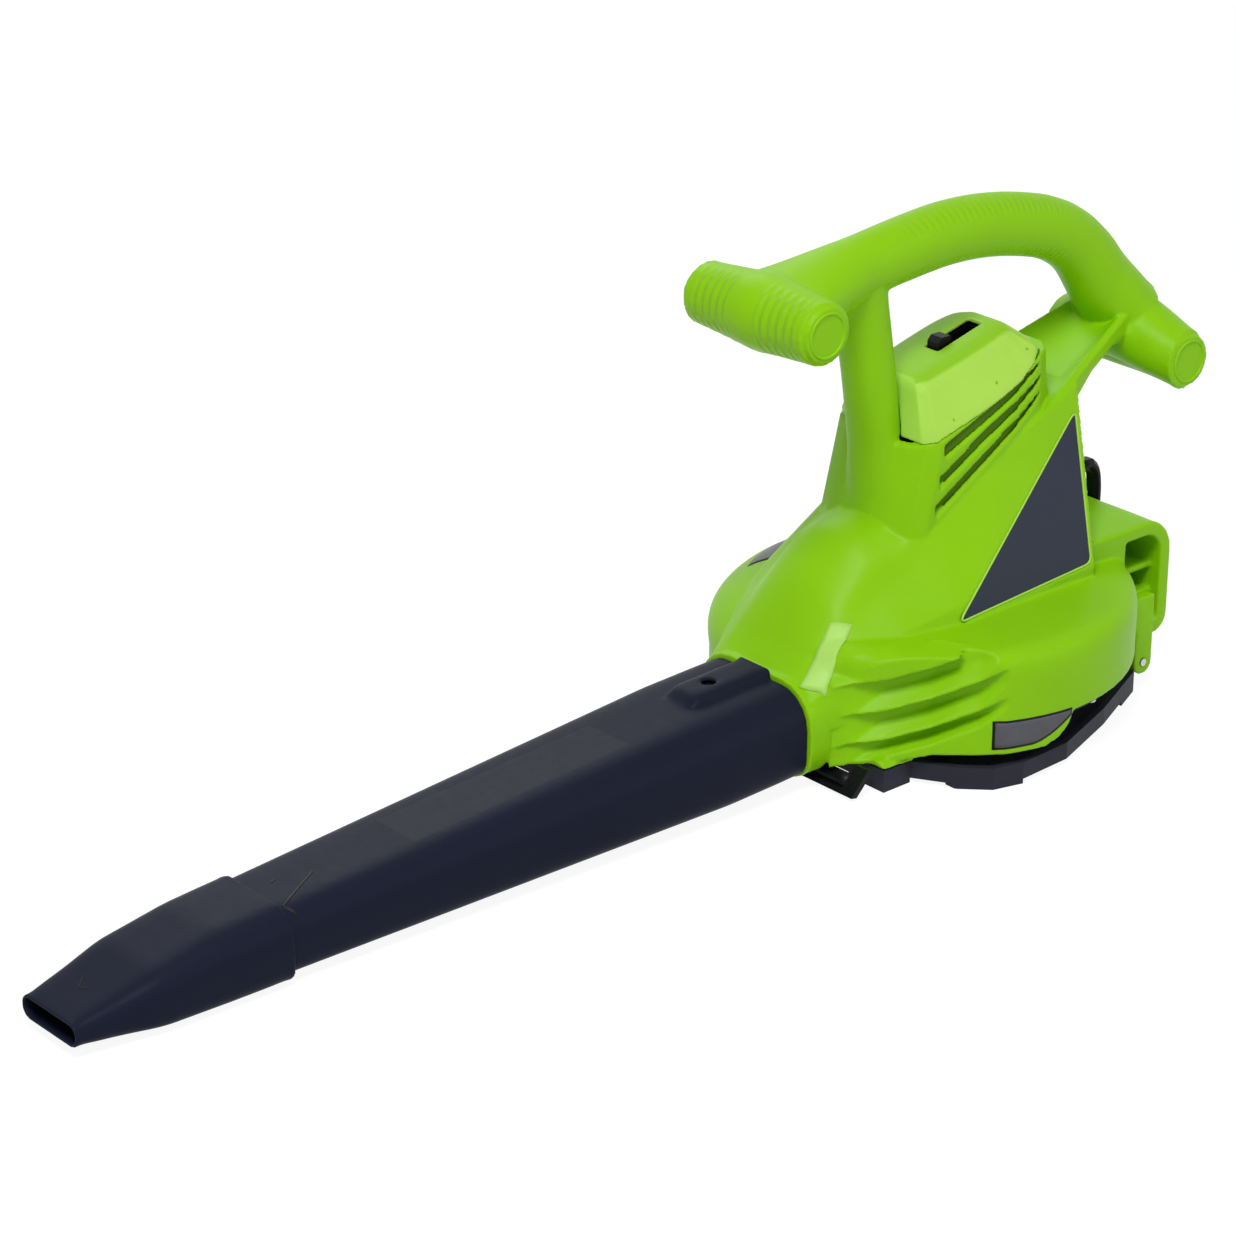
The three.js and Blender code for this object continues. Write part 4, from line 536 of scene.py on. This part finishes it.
def patch(name, rows, material, body, thickness=0.24):
    """A thin plate through rows of points."""
    wide = len(rows[0])
    faces = [(r * wide + c, r * wide + c + 1, (r + 1) * wide + c + 1, (r + 1) * wide + c)
             for r in range(len(rows) - 1) for c in range(wide - 1)]
    mesh = bpy.data.meshes.new(name)
    mesh.from_pydata([point for row in rows for point in row], [], faces)
    made = piece(name, mesh, material, body)
    thick = made.modifiers.new("thickness", "SOLIDIFY")
    thick.thickness = thickness * MM
    thick.offset = 0.0


def tube_marks(tube_skin, nozzle_skin):
    """The moulded arrow marks at the joint and near the mouth, black as painted shade of their
    engraving.
    """
    tube, nozzle = surface(tube_skin), surface(nozzle_skin)
    tail, corner, hook = (-479, -9), (-512, -27), (-508, -34)
    dot = ((-502, -2.3), (-499, -1))
    stroke("arrow_long", tube, (tail, corner), "tube", radius=1.5, sunk=1.1)
    stroke("arrow_short", tube, (corner, hook), "tube", radius=1.5, sunk=1.1)
    stroke("arrow_dot", tube, dot, "tube", radius=1.2, sunk=0.9)
    tail, corner, hook = (-621, 3), (-629, -4), (-627, -9)
    stroke("tip_long", nozzle, (tail, corner), "nozzle", radius=0.8, sunk=0.55)
    stroke("tip_short", nozzle, (corner, hook), "nozzle", radius=0.8, sunk=0.55)


def bordered(name, rows, border):
    """A bare plate over a dark one that is wider by the border all round."""
    border_lift, plate_lift = 0.05, 0.22
    patch(f"{name}_border", rows(border, border_lift), BLACK, "housing")
    patch(f"{name}_plate", rows(0.0, plate_lift), PLATE, "housing")


def skirt_plate(skin):
    """A bare plate in a dark border on the left side of the skirt."""
    tree = surface(skin)
    outside, across, up = -160, 24, 6       # start of the rays, and the grid's steps
    front, length = -56, 50
    high, fall = 42.5, 1.5                  # the upper edge, and how far it comes down
    base, rise, bend = 26.5, 12.5, 0.45     # the lower edge, which curves up past the bend

    def rows(grow, lift):
        made = []
        for i in range(across + 1):
            share = i / across
            x = front - grow + (length + 2 * grow) * share
            top = high - fall * share + grow
            low = base + rise * max(0.0, (share - bend) / (1 - bend)) ** 1.5 - grow
            made.append([landed(tree, at(x, outside, low + (top - low) * j / up), RIGHTWARDS,
                                lift) for j in range(up + 1)])
        return made

    bordered("skirt", rows, 1.4)


def crown_plate(skin):
    """A bare plate in a dark border on the crown of the drum, on its right side."""
    tree = surface(skin)
    above, around, outwards = 200, 16, 8    # start of the rays, and the grid's steps
    inner, width = 94, 17                   # radii from the fan's axis
    first, sweep = 101, 20                  # degrees from +x towards +y
    mean_radius = 100

    def rows(grow, lift):
        turn = math.degrees(grow / mean_radius)
        made = []
        for i in range(around + 1):
            angle = math.radians(first - turn + (sweep + 2 * turn) * i / around)
            radii = [inner - grow + (width + 2 * grow) * j / outwards
                     for j in range(outwards + 1)]
            made.append([landed(tree, at(r * math.cos(angle), r * math.sin(angle), above),
                                DOWN, lift) for r in radii])
        return made

    bordered("crown", rows, 1.5)


def ridge_facet(skin):
    """A flat at the lower end of the ridge over the duct, its pale colour a painted highlight."""
    tree = surface(skin)
    above, along, across, lift = 150, 12, 6, 0.5
    left, right = (-102, -42), (-111.5, -32.5)          # corners at the upper end
    left_run, right_run = (-31, -10), (-31, -7)         # from there to the lower end
    rows = []
    for i in range(along + 1):
        share = i / along
        near = at(left[0] + left_run[0] * share, left[1] + left_run[1] * share, above)
        far = at(right[0] + right_run[0] * share, right[1] + right_run[1] * share, above)
        rows.append([landed(tree, near.lerp(far, j / across), DOWN, lift)
                     for j in range(across + 1)])
    # painted highlight: the patch is paler than the green round it
    patch("ridge_facet", rows, RIDGE_HIGHLIGHT, "housing")


def shade_sheets_in_slots():
    """A thin dark green sheet behind the three air slots on each side of the motor pod, as
    painted shade in the slots.
    """
    low, steps, thickness = 144, 4, 0.6
    wall = ((-35, 36.5, 188), (-28, 39.1, 190), (-8, 39.3, 204), (24, 39.2, 214),
            (37, 38.2, 219), (46, 36.9, 222), (55, 35.0, 225), (61, 32.0, 227))    # x, y, top
    for side, name in ((-1, "left"), (1, "right")):
        rows = [[at(x, side * y, low + (top - low) * j / steps) for j in range(steps + 1)]
                for x, y, top in wall]
        # painted shade: each sheet darkens what is seen through the slots
        patch(f"slot_screen_{name}", rows, SLOT_SHADE, "housing", thickness)


def latch_web():
    """The black web between the latch's plate and the duct."""
    thickness = 1.2
    pivot = (middle("latch_pin", 0) - AXIS_X) / MM
    profile = ((-10, 4), (-8, 7.6), (-5, 12.2))    # x from the latch's pivot, and height
    rows = [[at(pivot + x, y, z) for x, z in profile] for y in (-67, -60, -52, -44, -36)]
    patch("latch_web", rows, BLACK, "latch", thickness)


def cover_dots(skin):
    """Three small round marks along the left side of the motor cover."""
    tree = surface(skin)
    outside, radius = -80, 0.9
    for i, (x, z) in enumerate(((-19.3, 202.7), (17.6, 217.0), (48.6, 229.8))):
        place = landed(tree, at(x, outside, z), RIGHTWARDS, 0.0)
        bead(f"cover_dot_{i + 1}", [place, place + Vector((radius * MM, 0, 0))], radius, GREEN,
             "housing")


def panel_edge_highlights():
    """A bead round each side panel, along the edge of its outer face, light green as a painted
    highlight on that edge.
    """
    radius, same_way = 0.7, 0.02
    for side, name in ((-1, "left_side_panel"), (1, "right_side_panel")):
        made = gathered([name])
        out = max((f.normal.y * side, f.index) for f in made.faces)[0]
        front = {f for f in made.faces if f.normal.y * side > out - same_way}
        loop = [e for e in made.edges if len(front.intersection(e.link_faces)) == 1]
        ahead = {}
        for edge in loop:
            first, second = edge.verts
            ahead.setdefault(first, []).append(second)
            ahead.setdefault(second, []).append(first)
        start = loop[0].verts[0]
        points, last, here = [start], None, start
        while True:
            step = [v for v in ahead[here] if v is not last][0]
            if step is start:
                break
            points.append(step)
            last, here = here, step
        # painted highlight: the bead's light green stands for light caught on the panel's edge
        bead(f"{name}_rim", [p.co.copy() for p in points], radius, EDGE_HIGHLIGHT, "housing", True)
        made.free()


def grip_caps():
    """A soft raised ring on the end of each cross grip."""
    ring_radius, bead_radius, out, steps = 13.2, 1.1, 52.4, 48
    for grip, (x, z) in (("front", (-138, 287)), ("rear", (177, 197))):
        for side, sign in (("left", -1), ("right", 1)):
            ring = [at(x + ring_radius * math.cos(a), sign * out, z + ring_radius * math.sin(a))
                    for a in (2 * math.pi * i / steps for i in range(steps))]
            bead(f"{grip}_{side}_cap", ring, bead_radius, GREEN, "housing", True)


# ------------------------------------------------------------------ floor, lights, camera
def seen_directly(tree):
    """1 for camera, glossy and transmission rays, which show the pale background, else 0."""
    path = node(tree, "ShaderNodeLightPath")
    seen = math_node(tree, "MAXIMUM", path.outputs["Is Camera Ray"],
                     path.outputs["Is Glossy Ray"])
    return math_node(tree, "MAXIMUM", seen, path.outputs["Is Transmission Ray"])


def floor_material():
    """Pale floor: white to the camera and in reflections, with the object's shadow on it.

    It is clear from below, so that the object's underside can be looked at.
    """
    glow, glow_share = 1.14, 0.8
    made = bpy.data.materials.new("floor")
    made.use_nodes = True
    tree = made.node_tree
    out = tree.nodes["Material Output"]
    shader = tree.nodes[PRINCIPLED]
    shader.inputs["Base Color"].default_value = (0.86, 0.86, 0.86, 1)
    shader.inputs["Roughness"].default_value = 0.9
    shader.inputs["Specular IOR Level"].default_value = 0.1
    light = node(tree, "ShaderNodeEmission", in_Strength=glow)
    seen = seen_directly(tree)
    mixed = node(tree, "ShaderNodeMixShader")
    tree.links.new(math_node(tree, "MULTIPLY", seen, glow_share), mixed.inputs[0])
    tree.links.new(shader.outputs[0], mixed.inputs[1])
    tree.links.new(light.outputs[0], mixed.inputs[2])
    hidden = node(tree, "ShaderNodeBsdfTransparent")
    geometry = node(tree, "ShaderNodeNewGeometry")
    sided = node(tree, "ShaderNodeMixShader")
    tree.links.new(geometry.outputs["Backfacing"], sided.inputs[0])
    tree.links.new(mixed.outputs[0], sided.inputs[1])
    tree.links.new(hidden.outputs[0], sided.inputs[2])
    tree.links.new(sided.outputs[0], out.inputs["Surface"])
    return made


def build_floor():
    """A wide floor, just under the object's feet."""
    r, gap = 6.0, 0.4    # metres, millimetres
    mesh = bpy.data.meshes.new("floor")
    mesh.from_pydata([(-r, -r, 0), (r, -r, 0), (r, r, 0), (-r, r, 0)], [], [(0, 1, 2, 3)])
    mesh.materials.append(floor_material())
    floor = new_object("floor", mesh)
    floor.location.z = -gap * MM


def area_light(name, place, aim, size, power):
    """A square lamp; its places and size are in metres."""
    data = bpy.data.lights.new(name, "AREA")
    data.shape = "SQUARE"
    data.size = size
    data.energy = power
    lamp = bpy.data.objects.new(name, data)
    lamp.location = place
    lamp.rotation_euler = (Vector(aim) - Vector(place)).to_track_quat("-Z", "Y").to_euler()
    bpy.context.scene.collection.objects.link(lamp)


def build_world():
    """Soft light from all sides, and white where it is seen directly."""
    ambient, white = 0.29, 1.0
    world = bpy.data.worlds.new("studio")
    bpy.context.scene.world = world
    world.use_nodes = True
    tree = world.node_tree
    back = tree.nodes["Background"]
    back.inputs["Color"].default_value = (1, 1, 1, 1)
    strength = ranged(tree, seen_directly(tree), ambient, white, 0.0, 1.0)
    tree.links.new(strength, back.inputs["Strength"])


def build_camera():
    """The photo's viewpoint: from the left front and above."""
    azimuth, elevation = math.radians(-41.02), math.radians(23.70)
    target, distance = at(-249.86, 0, 127.53), 2.23517    # the distance is in metres
    back = Vector((math.sin(azimuth) * math.cos(elevation),
                   -math.cos(azimuth) * math.cos(elevation), math.sin(elevation)))
    data = bpy.data.cameras.new("camera")
    data.sensor_width = 36.0
    data.lens = 113.31
    data.clip_end = 50.0
    camera = bpy.data.objects.new("camera", data)
    camera.location = target + back * distance
    camera.rotation_euler = (-back).to_track_quat("-Z", "Y").to_euler()
    bpy.context.scene.collection.objects.link(camera)
    bpy.context.scene.camera = camera


finish_nodes()
housing_skin = build_housing()
cover_skin = build_cover()
tube_skin = build_tube("blow_tube", "tube")
nozzle_skin = build_tube("nozzle", "nozzle")
SKINNED = ("left_housing", "right_housing", "rear_box", "motor_cover", "blow_tube", "nozzle")
ROUNDED = {"switch_knob": 0.8, "guard_latch": 0.4, "power_inlet": 0.5, "intake_guard": 0.5,
           "lock_button": 0.4}    # widths of the bevels
for name, obj in frame["nodes"].items():
    if name not in SKINNED:
        smooth(obj, ROUNDED.get(name, 0.0))
tube_marks(tube_skin, nozzle_skin)
shade_sheets_in_slots()
latch_web()
skirt_plate(housing_skin)
crown_plate(housing_skin)
ridge_facet(housing_skin)
cover_dots(cover_skin)
panel_edge_highlights()
grip_caps()

build_floor()
build_world()
area_light("key", (-1.0, -0.9, 2.3), (0.05, 0, 0.12), size=0.8, power=44)
area_light("fill", (1.4, -2.0, 1.0), (0.1, 0, 0.15), size=1.5, power=8)
area_light("rim", (0.8, 1.8, 1.6), (0.1, 0, 0.15), size=1.2, power=10)
build_camera()
bpy.context.scene.view_settings.view_transform = "Standard"
